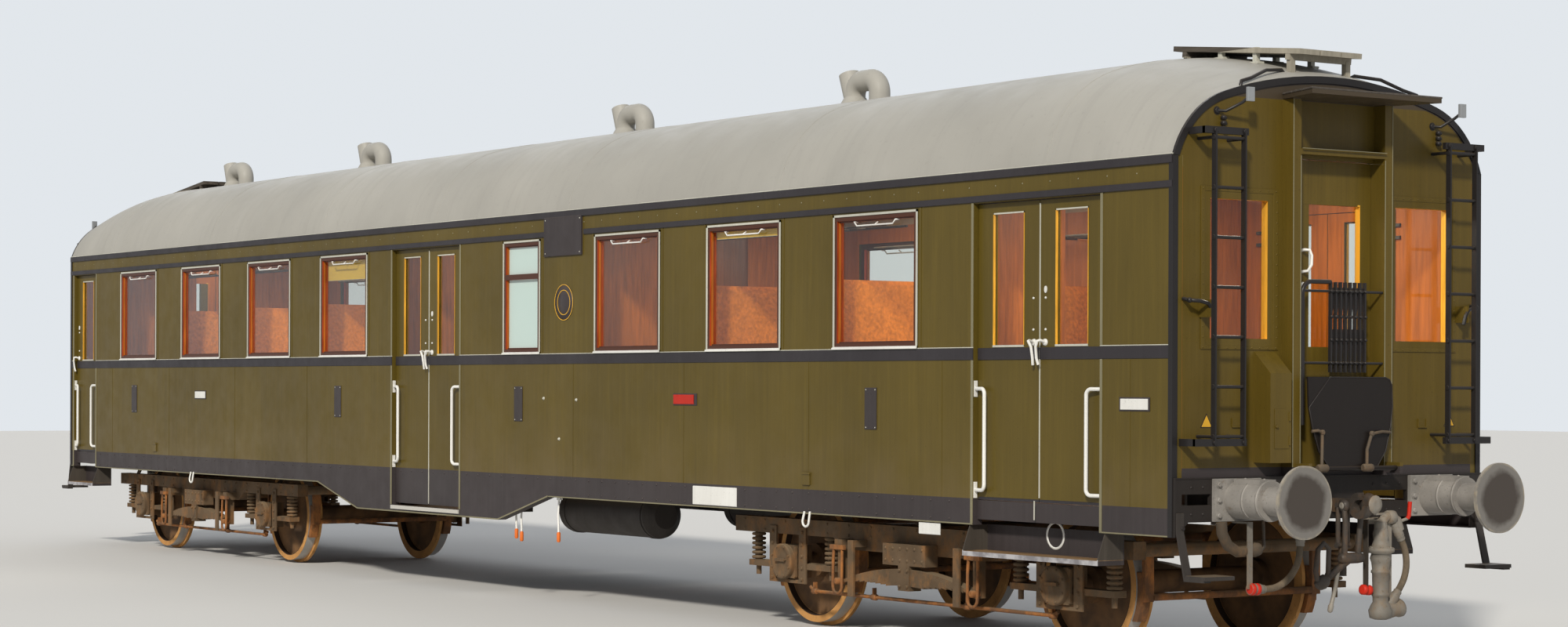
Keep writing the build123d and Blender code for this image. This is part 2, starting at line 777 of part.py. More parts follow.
# End doors, hinged at one side and opening into the vestibule
def end_door(end, name):
    outer = end * (BODY_HALF_L - END_DOOR_RECESS)
    inner = end * (BODY_HALF_L - END_DOOR_RECESS - END_DOOR_T)
    pane = (outer + inner) / 2
    half = END_OPENING_HALF_W - DOOR_GAP
    window_half = half - END_DOOR_STILE
    with BuildPart() as door:
        block(inner, outer, -half, half, level(H_END_DOOR_SILL) + DOOR_GAP, level(H_END_DOOR_HEAD) - DOOR_GAP)
        block(inner, outer, -window_half, window_half, level(H_WINDOW_SILL), level(H_END_DOOR_WINDOW_HEAD),
              Mode.SUBTRACT)
        block(pane - GLASS_T / 2, pane + GLASS_T / 2, -window_half, window_half,
              level(H_WINDOW_SILL), level(H_END_DOOR_WINDOW_HEAD))
        add_knuckles(end_knuckle, end_hinge(end))
    save(door, name)


end_door(1, "end_door_near")
end_door(-1, "end_door_far")

with BuildPart() as door_hinges:
    planes = end_hinge(1) + end_hinge(-1)
    for side in (-1, 1):
        for name, opening, hinge_side, double, bottom in SIDE_LEAVES:
            planes += side_hinge(opening, hinge_side, side)
    with Locations(*planes):
        add(hinge_bracket.part)
save(door_hinges, "door_hinges")


# Gangway portals: two columns, a head shelf and a canopy board at each end
with BuildPart() as gangway_portals:
    for end in (-1, 1):
        wall_x = end * BODY_HALF_L
        front_x = end * (BODY_HALF_L + PORTAL_PROUD)
        for side in (-1, 1):
            block(wall_x, front_x, side * (PORTAL_HALF_W - PORTAL_COLUMN), side * PORTAL_HALF_W,
                  level(H_HEADSTOCK_TOP), level(H_PORTAL_TOP))
        block(wall_x, front_x, -PORTAL_HALF_W + PORTAL_COLUMN, PORTAL_HALF_W - PORTAL_COLUMN,
              level(H_PORTAL_SHELF), level(H_PORTAL_SHELF) + PORTAL_SHELF_T)
        canopy_x = end * (BODY_HALF_L + CANOPY_DEPTH)
        with BuildSketch(Plane.XY.offset(level(H_PORTAL_TOP))) as canopy:
            with BuildLine():
                Polyline((wall_x, -PORTAL_HALF_W), (canopy_x, -CANOPY_HALF_W), (canopy_x, CANOPY_HALF_W),
                         (wall_x, PORTAL_HALF_W), close=True)
            make_face()
        extrude(canopy.sketch, amount=CANOPY_T)
        pin_x = end * (BODY_HALF_L + BRIDGE_PIN_OUT)
        pin_z = level(H_BRIDGE_PIN)
        for side in (-1, 1):
            y0 = side * (BRIDGE_HALF_W + BRIDGE_PIN_GAP)
            y1 = y0 + side * BRACKET_W
            block(front_x, pin_x + end * BRACKET_NOSE, y0, y1, pin_z - BRACKET_H / 2, pin_z + BRACKET_H / 2)
            rod((pin_x, y0, pin_z), (pin_x, y1, pin_z), BRIDGE_PIN_R + BRIDGE_PIN_PLAY, Mode.SUBTRACT)
save(gangway_portals, "gangway_portals")


# Bridge plates, stored leaning back a little on their pins
def bridge_plate(end, name):
    pin_x = end * (BODY_HALF_L + BRIDGE_PIN_OUT)
    pin_z = level(H_BRIDGE_PIN)
    lean = radians(BRIDGE_LEAN)
    stored = Plane(origin=(pin_x, 0, pin_z), x_dir=(0, 1, 0), z_dir=(cos(lean), 0, end * sin(lean)))
    pin_half = BRIDGE_HALF_W + BRIDGE_PIN_GAP + BRACKET_W
    with BuildPart() as plate:
        with BuildSketch(stored.offset(-BRIDGE_T / 2)):
            with BuildLine():
                edge = [(half, up) for up, half in BRIDGE_EDGE]
                Polyline(*edge, *[(-half, up) for half, up in edge[::-1]], close=True)
            make_face()
            left, right = vertices().sort_by(Axis.Y)[-2:].sort_by(Axis.X)
            cut_corner = left if end > 0 else right
            round_corner = right if end > 0 else left
            fillet(round_corner, BRIDGE_CORNER_R)
            chamfer(cut_corner, BRIDGE_CUT)
        extrude(amount=BRIDGE_T)
        rod((pin_x, -pin_half, pin_z), (pin_x, pin_half, pin_z), BRIDGE_PIN_R)
    save(plate, name)


bridge_plate(1, "bridge_plate_near")
bridge_plate(-1, "bridge_plate_far")


# Underframe: sole bars, headstocks, cross members, centre sills and pivot bolsters
def sole_outline(inset):
    """Outline of the long sole bar between the far and near doors, with the belly under the middle door."""
    top = level(H_WALL_FOOT) - inset
    bottom = level(H_SOLE_BOTTOM) + inset
    belly = level(H_BELLY_BOTTOM) + inset
    sill = level(H_MID_SILL) - inset
    x0 = FAR_DOOR_X1 + inset
    x1 = NEAR_DOOR_X0 - inset
    middle = (MID_DOOR_X0 + MID_DOOR_X1) / 2
    flat0 = middle - BELLY_HALF_FLAT
    flat1 = middle + BELLY_HALF_FLAT
    Polyline(
        (x0, bottom), (flat0 - BELLY_SLOPE, bottom), (flat0, belly), (flat1, belly),
        (flat1 + BELLY_SLOPE, bottom), (x1, bottom), (x1, top), (MID_DOOR_X1 + inset, top),
        (MID_DOOR_X1 + inset, sill), (MID_DOOR_X0 - inset, sill), (MID_DOOR_X0 - inset, top), (x0, top),
        close=True,
    )


def end_sole(x0, x1, side):
    """A short stretch of sole bar between a door and the body's end."""
    outer = side * BODY_HALF_W
    z0 = level(H_SOLE_BOTTOM)
    z1 = level(H_WALL_FOOT)
    block(x0, x1, outer, side * (BODY_HALF_W - SOLE_FLANGE), z0, z1)
    block(x0 + SOLE_T, x1 - SOLE_T, side * (BODY_HALF_W - SOLE_T), side * (BODY_HALF_W - SOLE_FLANGE),
          z0 + SOLE_T, z1 - SOLE_T, Mode.SUBTRACT)


with BuildPart() as underframe:
    for side in (-1, 1):
        web = Plane.XZ.offset(-side * BODY_HALF_W)
        inner_web = Plane.XZ.offset(-side * (BODY_HALF_W - SOLE_T))
        with BuildSketch(web):
            with BuildLine():
                sole_outline(0)
            make_face()
        extrude(amount=side * SOLE_FLANGE)
        with BuildSketch(inner_web):
            with BuildLine():
                sole_outline(SOLE_T)
            make_face()
        extrude(amount=side * SOLE_FLANGE, mode=Mode.SUBTRACT)
        end_sole(NEAR_DOOR_X1, BODY_HALF_L, side)
        end_sole(-BODY_HALF_L, FAR_DOOR_X0, side)
        for x0, x1 in (NEAR_DOOR, FAR_DOOR):
            block(x0, x1, side * (BODY_HALF_W - DOOR_RECESS), side * (BODY_HALF_W - SOLE_FLANGE),
                  level(H_END_SKIRT_BOTTOM), level(H_END_WELL))
    for end in (-1, 1):
        block(end * (BODY_HALF_L - SOLE_FLANGE), end * (BODY_HALF_L + HEADSTOCK_T),
              -BODY_HALF_W, BODY_HALF_W, level(H_HEADSTOCK_BOTTOM), level(H_HEADSTOCK_TOP))
        block(end * (BODY_HALF_L - SOLE_FLANGE), end * BODY_HALF_L,
              -INNER_Y, INNER_Y, level(H_HEADSTOCK_BOTTOM), level(H_HEADSTOCK_TOP), Mode.SUBTRACT)
        block(end * (BODY_HALF_L - SOLE_FLANGE), end * BODY_HALF_L,
              -BODY_HALF_W, BODY_HALF_W, level(H_WALL_FOOT), level(H_HEADSTOCK_TOP), Mode.SUBTRACT)
        for side in (-1, 1):
            base_y = BUFFER_Y - BUFFER_BASE_W / 2 - SLOT_GAP
            base_y1 = BUFFER_Y + BUFFER_BASE_W / 2 + SLOT_GAP
            for y0, y1 in ((SLOT_INNER_Y, base_y), (base_y1, BODY_HALF_W - SLOT_EDGE)):
                block(end * BODY_HALF_L, end * HEADSTOCK_X, side * y0, side * y1,
                      level(H_SLOT_LOW), level(H_SLOT_HIGH), Mode.SUBTRACT)
            with BuildSketch(Plane.YZ.offset(end * BODY_HALF_L)) as gusset:
                with BuildLine():
                    Polyline((side * BODY_HALF_W, level(H_SOLE_BOTTOM)),
                             (side * BODY_HALF_W, level(H_HEADSTOCK_BOTTOM)),
                             (side * (BODY_HALF_W - GUSSET_L), level(H_HEADSTOCK_BOTTOM)), close=True)
                make_face()
            extrude(gusset.sketch, amount=end * HEADSTOCK_T)
        block(end * (PIVOT_X - BOLSTER_HALF_L), end * (PIVOT_X + BOLSTER_HALF_L),
              -INNER_Y, INNER_Y, level(H_CROSS_BOTTOM), Z_FLOOR - FLOOR_T)
        rod((end * PIVOT_X, 0, level(H_PIVOT)), (end * PIVOT_X, 0, level(H_CROSS_BOTTOM)), BOGIE_PIVOT_R)
    for side in (-1, 1):
        block(-BODY_HALF_L, BODY_HALF_L, side * SILL_Y, side * (SILL_Y - SILL_W),
              level(H_CROSS_BOTTOM), Z_FLOOR - FLOOR_T)
    for x in CROSS_MEMBERS:
        block(x - CROSS_W / 2, x + CROSS_W / 2, -INNER_Y, INNER_Y, level(H_CROSS_BOTTOM), Z_FLOOR - FLOOR_T)
save(underframe, "underframe")


# Floor with its cut-outs, and the step wells under the side doors
def well_section(well_top, treads):
    """Steps from the door up to the floor, as (y, z) corners of their upper side."""
    rise = (Z_FLOOR - well_top) / (len(treads) + 1)
    y = WELL_INNER_Y
    z = well_top
    corners = [(LEAF_INNER_Y, z), (y, z)]
    for tread in treads:
        z += rise
        corners.append((y, z))
        y -= tread
        corners.append((y, z))
    corners.append((y, Z_FLOOR))
    return corners


WELLS = [
    (NEAR_DOOR, level(H_END_WELL), []),
    (MID_DOOR, level(H_MID_WELL), [MID_WELL_TREAD, MID_WELL_TREAD]),
    (FAR_DOOR, level(H_END_WELL), []),
]

with BuildPart() as floor:
    block(-END_INNER_X, END_INNER_X, -INNER_Y, INNER_Y, Z_FLOOR - FLOOR_T, Z_FLOOR)
    for side in (-1, 1):
        for (x0, x1), top, treads in WELLS:
            block(x0, x1, side * INNER_Y, side * (WELL_INNER_Y - sum(treads) - WELL_T),
                  Z_FLOOR - FLOOR_T, Z_FLOOR, Mode.SUBTRACT)
save(floor, "floor")

with BuildPart() as step_wells:
    for side in (-1, 1):
        for (x0, x1), top, treads in WELLS:
            corners = well_section(top, treads)
            lower = [(y - WELL_T if i else y, z - WELL_T) for i, (y, z) in enumerate(corners)]
            outline = corners + [(corners[-1][0] - WELL_T, Z_FLOOR)] + lower[::-1]
            outline = [(side * y, z) for y, z in outline]
            with BuildSketch(Plane.YZ.offset(x0)):
                with BuildLine():
                    Polyline(*outline, close=True)
                make_face()
            extrude(amount=x1 - x0)
save(step_wells, "step_wells")


# Roof ventilators: swan-neck pipes with an open hood, along the ridge
def swan_neck(x):
    base_z = level(H_CREST)
    top_z = base_z + VENT_RISE
    with Locations((x, 0, base_z)):
        Cylinder(VENT_FLANGE_R, VENT_FLANGE_T, align=(Align.CENTER, Align.CENTER, Align.MIN))
    points = [(x, 0, base_z), (x, 0, top_z), (x - VENT_REACH, 0, top_z), (x - VENT_REACH, 0, top_z - VENT_DROP)]
    bent_rod(points, VENT_BEND_R, VENT_PIPE_R)
    hood_z = top_z - VENT_DROP - VENT_HOOD_H / 2
    with Locations((x - VENT_REACH, 0, hood_z)):
        Cone(VENT_HOOD_R, VENT_PIPE_R, VENT_HOOD_H, align=(Align.CENTER, Align.CENTER, Align.MIN))
    with Locations((x - VENT_REACH - VENT_HOOD_LEAN, 0, hood_z + VENT_HOOD_H)):
        Cylinder(VENT_PIPE_R, VENT_CHIMNEY_H, align=(Align.CENTER, Align.CENTER, Align.MIN),
                 rotation=(0, -VENT_TILT, 0))


with BuildPart() as roof_vents:
    for x in VENT_X:
        swan_neck(x)
save(roof_vents, "roof_vents")


# Running boards over the roof's ends: planks along X on cross bearers and posts
with BuildPart() as roof_walkways:
    for end in (-1, 1):
        slope = degrees(atan2(WALK_DROP, WALK_X1 - WALK_X0))
        down = radians(slope)
        deck = Plane(origin=(end * WALK_X0, 0, level(H_WALK)), x_dir=(end * cos(down), 0, -sin(down)),
                     z_dir=(end * sin(down), 0, cos(down)))
        length = (WALK_X1 - WALK_X0) / cos(radians(slope))
        with Locations(deck):
            for row in (-1, 0, 1):
                with Locations((length / 2, row * (WALK_PLANK_W + WALK_PLANK_GAP), WALK_PLANK_T / 2)):
                    Box(length, WALK_PLANK_W, WALK_PLANK_T)
            for along in (WALK_POST_INSET, length - WALK_POST_INSET):
                with Locations((along, 0, -WALK_BEAM_T / 2)):
                    Box(WALK_POST_W, 2 * WALK_BEAM_HALF, WALK_BEAM_T)
        for along in (WALK_POST_INSET, length - WALK_POST_INSET):
            x = end * (WALK_X0 + along * cos(radians(slope)))
            top = level(H_WALK) - along * sin(radians(slope)) - WALK_BEAM_T / 2
            for side in (-1, 1):
                y = side * WALK_POST_Y
                foot = min(roof_top(x - WALK_POST_W / 2, y), roof_top(x + WALK_POST_W / 2, y))
                block(x - WALK_POST_W / 2, x + WALK_POST_W / 2, y - WALK_POST_W / 2, y + WALK_POST_W / 2,
                      foot - WALK_POST_FOOT, top)
    add(roof.part, mode=Mode.SUBTRACT)
save(roof_walkways, "roof_walkways")


# Grab handles in the door recesses: a foot on the jamb, an arm and an upright grip
def grab_handle(jamb_x, into, side, z0, z1):
    """A handle on a jamb; into is +1 or -1, the way along X into the doorway."""
    plate_y = side * (BODY_HALF_W - DOOR_RECESS / 2)
    grip_y = plate_y + side * HANDLE_OUT
    grip_x = jamb_x + into * HANDLE_REACH
    for z in (z0, z1):
        block(jamb_x, jamb_x + into * HANDLE_FOOT_T, plate_y - HANDLE_FOOT_W / 2, plate_y + HANDLE_FOOT_W / 2,
              z - HANDLE_FOOT_H / 2, z + HANDLE_FOOT_H / 2)
    root_x = jamb_x + into * HANDLE_FOOT_T / 2
    bent_rod([(root_x, plate_y, z0), (grip_x, grip_y, z0), (grip_x, grip_y, z1), (root_x, plate_y, z1)],
             HANDLE_BEND_R, HANDLE_R)


with BuildPart() as grab_handles:
    for side in (-1, 1):
        for x0, x1 in (NEAR_DOOR, MID_DOOR, FAR_DOOR):
            grab_handle(x0, 1, side, level(H_HANDLE_LOW), level(H_HANDLE_HIGH))
            grab_handle(x1, -1, side, level(H_HANDLE_LOW), level(H_HANDLE_HIGH))
save(grab_handles, "grab_handles")


# Step boxes under the end side doors, and the white sill strips of the middle doors
with BuildPart() as entrance_steps:
    for side in (-1, 1):
        for x0, x1 in (NEAR_DOOR, FAR_DOOR):
            a = x0 - STEP_OVERHANG
            b = x1 + STEP_OVERHANG
            outer = side * STEP_OUTER_Y
            back = side * STEP_BACK_Y
            z0 = level(H_STEP_BOARD) - STEP_BOARD_T
            block(a, b, outer, back, z0, level(H_STEP_BOARD))
            block(a, b, back, side * (STEP_BACK_Y + STEP_SHEET_T), level(H_STEP_BOARD), level(H_SOLE_BOTTOM))
            for x in (a, b - STEP_SHEET_T):
                with BuildSketch(Plane.YZ.offset(x)) as cheek:
                    with BuildLine():
                        Polyline((back, z0), (outer, z0), (outer, level(H_STEP_BOARD)),
                                 (side * (BODY_HALF_W - SOLE_T), level(H_SOLE_BOTTOM)),
                                 (back, level(H_SOLE_BOTTOM)), close=True)
                    make_face()
                extrude(cheek.sketch, amount=STEP_SHEET_T)
        block(MID_DOOR_X0, MID_DOOR_X1, side * BODY_HALF_W, side * (BODY_HALF_W + SILL_STRIP_T),
              level(H_MID_SILL) - SILL_STRIP_H, level(H_MID_SILL))
save(entrance_steps, "entrance_steps")


# Shunter's steps at the four corners, each on a strap bent forward from the headstock
def step_strap():
    """Outline of the strap as (out from the headstock, Z), down its front and up its back."""
    top = level(H_HEADSTOCK_BOTTOM) + STRAP_LAP
    bend = level(H_HEADSTOCK_BOTTOM) - STRAP_LAP
    z0 = level(H_CORNER_STEP)
    reach = STRAP_SLANT + CORNER_STEP_DEPTH
    return [(STRAP_T, top), (STRAP_T, bend), (STRAP_SLANT + STRAP_T, z0), (reach, z0), (reach, z0 - STRAP_T),
            (STRAP_SLANT, z0 - STRAP_T), (0, bend), (0, top)]


with BuildPart() as corner_steps:
    for end in (-1, 1):
        for side in (-1, 1):
            with BuildSketch(Plane.XZ.offset(-side * CORNER_STEP_Y1)):
                with BuildLine():
                    Polyline(*[(end * (HEADSTOCK_X + out), z) for out, z in step_strap()], close=True)
                make_face()
            extrude(amount=side * STRAP_W)
            tread_x = HEADSTOCK_X + STRAP_SLANT + STRAP_T
            block(end * tread_x, end * (tread_x + CORNER_STEP_DEPTH), side * CORNER_STEP_Y0,
                  side * CORNER_STEP_Y1, level(H_CORNER_STEP), level(H_CORNER_STEP) + CORNER_STEP_T)
save(corner_steps, "corner_steps")


# Ladders up the end walls to the running boards
with BuildPart() as ladders:
    rung_pitch = (H_LADDER_HIGH - H_LADDER_LOW - 2 * LADDER_FOOT) / (RUNGS - 1)
    for end in (-1, 1):
        x = end * (BODY_HALF_L + LADDER_OUT)
        for side in (-1, 1):
            for y in (LADDER_Y0, LADDER_Y1):
                block(x - LADDER_BAR_T / 2, x + LADDER_BAR_T / 2, side * y - LADDER_BAR_W / 2,
                      side * y + LADDER_BAR_W / 2, level(H_LADDER_LOW), level(H_LADDER_HIGH))
                for z in (level(H_LADDER_LOW) + LADDER_FOOT, level(H_LADDER_HIGH) - LADDER_FOOT):
                    rod((end * BODY_HALF_L, side * y, z), (x, side * y, z), RUNG_R)
            for i in range(RUNGS):
                z = level(H_LADDER_LOW) + LADDER_FOOT + i * rung_pitch
                rod((x, side * LADDER_Y0, z), (x, side * LADDER_Y1, z), RUNG_R)
save(ladders, "ladders")


# Buffers: housing with its base, collar and tread plate, and the head with its stem
with BuildPart() as buffer_housings:
    for end in (-1, 1):
        for side in (-1, 1):
            y = side * BUFFER_Y
            z = level(H_BUFFER)
            front = HEADSTOCK_X + BUFFER_HOUSING_L
            block(end * HEADSTOCK_X, end * (HEADSTOCK_X + BUFFER_BASE_T), y - BUFFER_BASE_W / 2,
                  y + BUFFER_BASE_W / 2, z - BUFFER_BASE_H / 2, z + BUFFER_BASE_H / 2)
            rod((end * HEADSTOCK_X, y, z), (end * front, y, z), BUFFER_HOUSING_R)
            rod((end * (front - BUFFER_COLLAR_L), y, z), (end * front, y, z), BUFFER_COLLAR_R)
            block(end * (HEADSTOCK_X + BUFFER_TREAD_X0), end * (HEADSTOCK_X + BUFFER_TREAD_X1),
                  y - BUFFER_TREAD_HALF, y + BUFFER_TREAD_HALF,
                  z + BUFFER_TREAD_TOP - BUFFER_TREAD_H, z + BUFFER_TREAD_TOP)
            rod((end * HEADSTOCK_X, y, z), (end * front, y, z), BUFFER_STEM_R + BUFFER_PLAY, Mode.SUBTRACT)
save(buffer_housings, "buffer_housings")

with BuildPart() as buffer_heads:
    for end in (-1, 1):
        for side in (-1, 1):
            y = side * BUFFER_Y
            z = level(H_BUFFER)
            back = BUFFER_FACE_X - BUFFER_PLATE_T
            rod((end * (HEADSTOCK_X + SEAT), y, z), (end * back, y, z), BUFFER_STEM_R)
            rod((end * back, y, z), (end * BUFFER_FACE_X, y, z), BUFFER_PLATE_R)
            with Locations(Plane(origin=(end * (back - BUFFER_FLARE_L), y, z), z_dir=(end, 0, 0))):
                Cone(BUFFER_STEM_R, BUFFER_FLARE_R, BUFFER_FLARE_L,
                     align=(Align.CENTER, Align.CENTER, Align.MIN))
save(buffer_heads, "buffer_heads")


# Draw hook with its screw coupling hanging from it
with BuildPart() as draw_gear:
    for end in (-1, 1):
        z = level(H_DRAW)
        x0 = HEADSTOCK_X
        block(end * x0, end * (x0 + HOOK_SHANK + SHACKLE_R), -HOOK_W / 2, HOOK_W / 2,
              z - HOOK_H / 2, z + HOOK_H / 2)
        with Locations(Plane(origin=(end * (x0 + HOOK_SHANK + HOOK_R), HOOK_W / 2, z), z_dir=(0, -1, 0))):
            Cylinder(HOOK_R, HOOK_W, align=(Align.CENTER, Align.CENTER, Align.MIN))
            Cylinder(HOOK_EYE_R, HOOK_W, align=(Align.CENTER, Align.CENTER, Align.MIN), mode=Mode.SUBTRACT)
        block(end * (x0 + HOOK_SHANK + HOOK_R), end * (x0 + HOOK_SHANK + 2 * HOOK_R), -HOOK_W, HOOK_W,
              z, z + 2 * HOOK_R, Mode.SUBTRACT)
        shackle_x = end * (x0 + HOOK_SHANK / 2)
        for side in (-1, 1):
            y = side * (HOOK_W / 2 + SHACKLE_R - 1)
            rod((shackle_x, y, z), (shackle_x, y, z - SHACKLE_L), SHACKLE_R)
        rod((shackle_x, -HOOK_W / 2 - 2 * SHACKLE_R, z), (shackle_x, HOOK_W / 2 + 2 * SHACKLE_R, z), SHACKLE_R)
        rod((shackle_x, -HOOK_W / 2 - 2 * SHACKLE_R, z - SHACKLE_L),
            (shackle_x, HOOK_W / 2 + 2 * SHACKLE_R, z - SHACKLE_L), 1.2 * SHACKLE_R)
        rod((shackle_x, 0, z - SHACKLE_L), (shackle_x, 0, z - SHACKLE_L - SCREW_L), SCREW_R)
save(draw_gear, "draw_gear")


# Benches, on one frame per bay, and the partitions between compartments and vestibules
def bench(x, facing, side):
    """A slatted bench: seat and back as one bent section, with an aisle-side end board."""
    back_x = x + facing * BENCH_BACK_GAP
    seat_x = back_x + facing * BENCH_SEAT_L
    z0 = Z_FLOOR
    y_wall = side * (INNER_Y - BENCH_WALL_GAP)
    y_aisle = side * AISLE_HALF_W
    with BuildSketch(Plane.XZ.offset(-y_wall)) as profile:
        with BuildLine():
            Polyline(
                (back_x, z0 + SEAT_H - BENCH_T), (seat_x, z0 + SEAT_H - BENCH_T), (seat_x, z0 + SEAT_H),
                (back_x + facing * (BENCH_T + BENCH_LEAN), z0 + SEAT_H),
                (back_x + facing * BENCH_T, z0 + BACK_H), (back_x, z0 + BACK_H), close=True,
            )
        make_face()
    extrude(profile.sketch, amount=side * (abs(y_wall) - abs(y_aisle)))
    for a in (back_x, seat_x - facing * BENCH_T):
        block(a, a + facing * BENCH_T, y_wall, y_aisle, z0, z0 + SEAT_H - BENCH_T)


with BuildPart() as benches:
    for side in (-1, 1):
        for x in BENCH_ROWS:
            bench(x, 1, side)
            bench(x, -1, side)
save(benches, "benches")

with BuildPart() as partitions:
    for x in PARTITION_X:
        for side in (-1, 1):
            block(x - PARTITION_T / 2, x + PARTITION_T / 2, side * AISLE_HALF_W, side * (INNER_Y - SEAT),
                  Z_FLOOR, level(H_PARTITION_TOP))
        block(x - PARTITION_T / 2, x + PARTITION_T / 2, -AISLE_HALF_W, AISLE_HALF_W,
              level(H_AISLE_HEAD), level(H_PARTITION_TOP))
save(partitions, "partitions")


# Lattice gates, folded against one portal column and held by a hoop clamped to the other
with BuildPart() as lattice_gates:
    for end in (-1, 1):
        x = end * (BODY_HALF_L + GATE_OUT)
        column_y = end * (PORTAL_HALF_W - PORTAL_COLUMN)
        z0 = level(H_GATE_LOW)
        z1 = level(H_GATE_HIGH)
        bent_rod([(x, end * HOOP_Y, level(H_HOOP_FOOT)), (x, end * HOOP_Y, z1), (x, end * GATE_BUNDLE_Y, z1)],
                 HOOP_BEND_R, HOOP_R)
        for z in (level(H_HOOP_FOOT) + HOOP_CLAMP, z0):
            block(x - HOOP_CLAMP / 2, x + HOOP_CLAMP / 2, -column_y, end * HOOP_Y,
                  z - HOOP_CLAMP, z + HOOP_CLAMP)
        for i in range(GATE_BARS):
            y = end * (GATE_BUNDLE_Y + i * GATE_BAR_PITCH)
            block(x - GATE_BAR_T / 2, x + GATE_BAR_T / 2, y - GATE_BAR_W / 2, y + GATE_BAR_W / 2, z0, z1)
        for z in (z0 + GATE_RAIL_INSET, z1 - GATE_RAIL_INSET):
            rod((x, end * HOOP_Y, z), (x, column_y, z), GATE_RAIL_R)
save(lattice_gates, "lattice_gates")


# Cabinet with a sloped top beside each portal, and the lamp brackets
with BuildPart() as end_fittings:
    for end in (-1, 1):
        wall_x = BODY_HALF_L
        front_x = wall_x + CABINET_DEPTH
        with BuildSketch(Plane.XZ.offset(-end * CABINET_Y1)) as profile:
            with BuildLine():
                Polyline((end * wall_x, level(H_CABINET_LOW)), (end * front_x, level(H_CABINET_LOW)),
                         (end * front_x, level(H_CABINET_FRONT)), (end * wall_x, level(H_CABINET_TOP)),
                         close=True)
            make_face()
        extrude(amount=end * (CABINET_Y1 - CABINET_Y0))
        for side in (-1, 1):
            y = side * LAMP_BRACKET_Y
            block(end * wall_x, end * (wall_x + LAMP_BRACKET_L), y - LAMP_BRACKET_T / 2, y + LAMP_BRACKET_T / 2,
                  level(H_LAMP_BRACKET), level(H_LAMP_BRACKET) + LAMP_BRACKET_H)
save(end_fittings, "end_fittings")


# Below the floor: air tanks with dished ends on straps, and brake pull rods
with BuildPart() as air_tanks:
    for side in (-1, 1):
        y = side * TANK_Y
        z = level(H_TANK)
        rod((TANK_X0, y, z), (TANK_X1, y, z), TANK_R)
        for x, way in ((TANK_X0, -1), (TANK_X1, 1)):
            with Locations(Plane(origin=(x, y, z), z_dir=(way, 0, 0))):
                Cone(TANK_R, TANK_DISH_R, TANK_DISH, align=(Align.CENTER, Align.CENTER, Align.MIN))
        for x in (TANK_X0 + TANK_STRAP_INSET, TANK_X1 - TANK_STRAP_INSET):
            rod((x - STRAP_W / 2, y, z), (x + STRAP_W / 2, y, z), TANK_BAND_R)
            block(x - STRAP_W / 2, x + STRAP_W / 2, y - STRAP_T / 2, y + STRAP_T / 2, z + TANK_R - STRAP_T,
                  Z_FLOOR - FLOOR_T)
save(air_tanks, "air_tanks")

with BuildPart() as brake_rigging:
    for end in (-1, 1):
        rod((end * PULL_ROD_X0, 0, level(H_PULL_ROD)), (end * PULL_ROD_X1, 0, level(H_PULL_ROD)), PULL_ROD_R)
        for x in (PULL_ROD_X0 + STRAP_W, PULL_ROD_X1 - STRAP_W):
            block(end * x, end * (x + STRAP_T), -SILL_Y + SILL_W, SILL_Y - SILL_W,
                  level(H_PULL_ROD) - STRAP_W / 2, level(H_PULL_ROD) + STRAP_W / 2)
            for side in (-1, 1):
                block(end * x, end * (x + STRAP_T), side * (SILL_Y - SILL_W),
                      side * (SILL_Y - SILL_W + STRAP_W), level(H_PULL_ROD) - STRAP_W / 2, level(H_CROSS_BOTTOM))
save(brake_rigging, "brake_rigging")


# Brake hoses, from a cock under the headstock to a holder. Columns: out from the headstock, y, height.
LOW_SIDE_HOSE = [
    (120, -424, 838), (124, -430, 748), (127, -463, 664), (124, -520, 595),
    (120, -598, 549), (117, -685, 529), (114, -775, 533),
]
HIGH_SIDE_HOSE = [
    (150, 438, 852), (154, 480, 778), (158, 501, 692), (156, 498, 604), (150, 466, 520), (142, 410, 450),
]
# Heating coupling, as turned pieces from the top down. Columns: upper height, lower height, radius.
HEATER_PIECES = [
    (935, 770, 42), (770, 745, 85), (745, 560, 38), (640, 615, 50), (560, 400, 32), (400, 305, 45),
]


def hose_points(end, rows):
    """The route of a hose at one end, turned about the coach's middle for the other end."""
    return [Vector(end * (HEADSTOCK_X + out), end * y, level(h)) for out, y, h in rows]


def hose_radii(points):
    """The arc at each inner point, as large as its two runs allow."""
    radii = []
    for before, here, after in zip(points, points[1:], points[2:]):
        run = min((here - before).length, (after - here).length)
        turn = radians((here - before).get_angle(after - here))
        radii.append(HOSE_ARC_SHARE * run / tan(turn / 2))
    return radii


def brake_hose(end, rows, name):
    points = hose_points(end, rows)
    radii = hose_radii(points)
    print(name, "arc radii", [round(r) for r in radii])
    with BuildPart() as hose:
        with BuildLine() as path:
            FilletPolyline(*points, radius=radii)
        with BuildSketch(Plane(origin=path.line @ 0, z_dir=path.line % 0)) as section:
            Circle(HOSE_R)
        sweep(section.sketch, path=path.line)
    length = sum(edge.length for edge in path.line.edges())
    expected = pi * HOSE_R**2 * length
    print(name, "length", round(length), "volume ratio", round(hose.part.volume / expected, 4))
    save(hose, name)


for end, end_name in ((1, "near"), (-1, "far")):
    low_name, high_name = ("left", "right") if end > 0 else ("right", "left")
    brake_hose(end, LOW_SIDE_HOSE, "brake_hose_" + end_name + "_" + low_name)
    brake_hose(end, HIGH_SIDE_HOSE, "brake_hose_" + end_name + "_" + high_name)

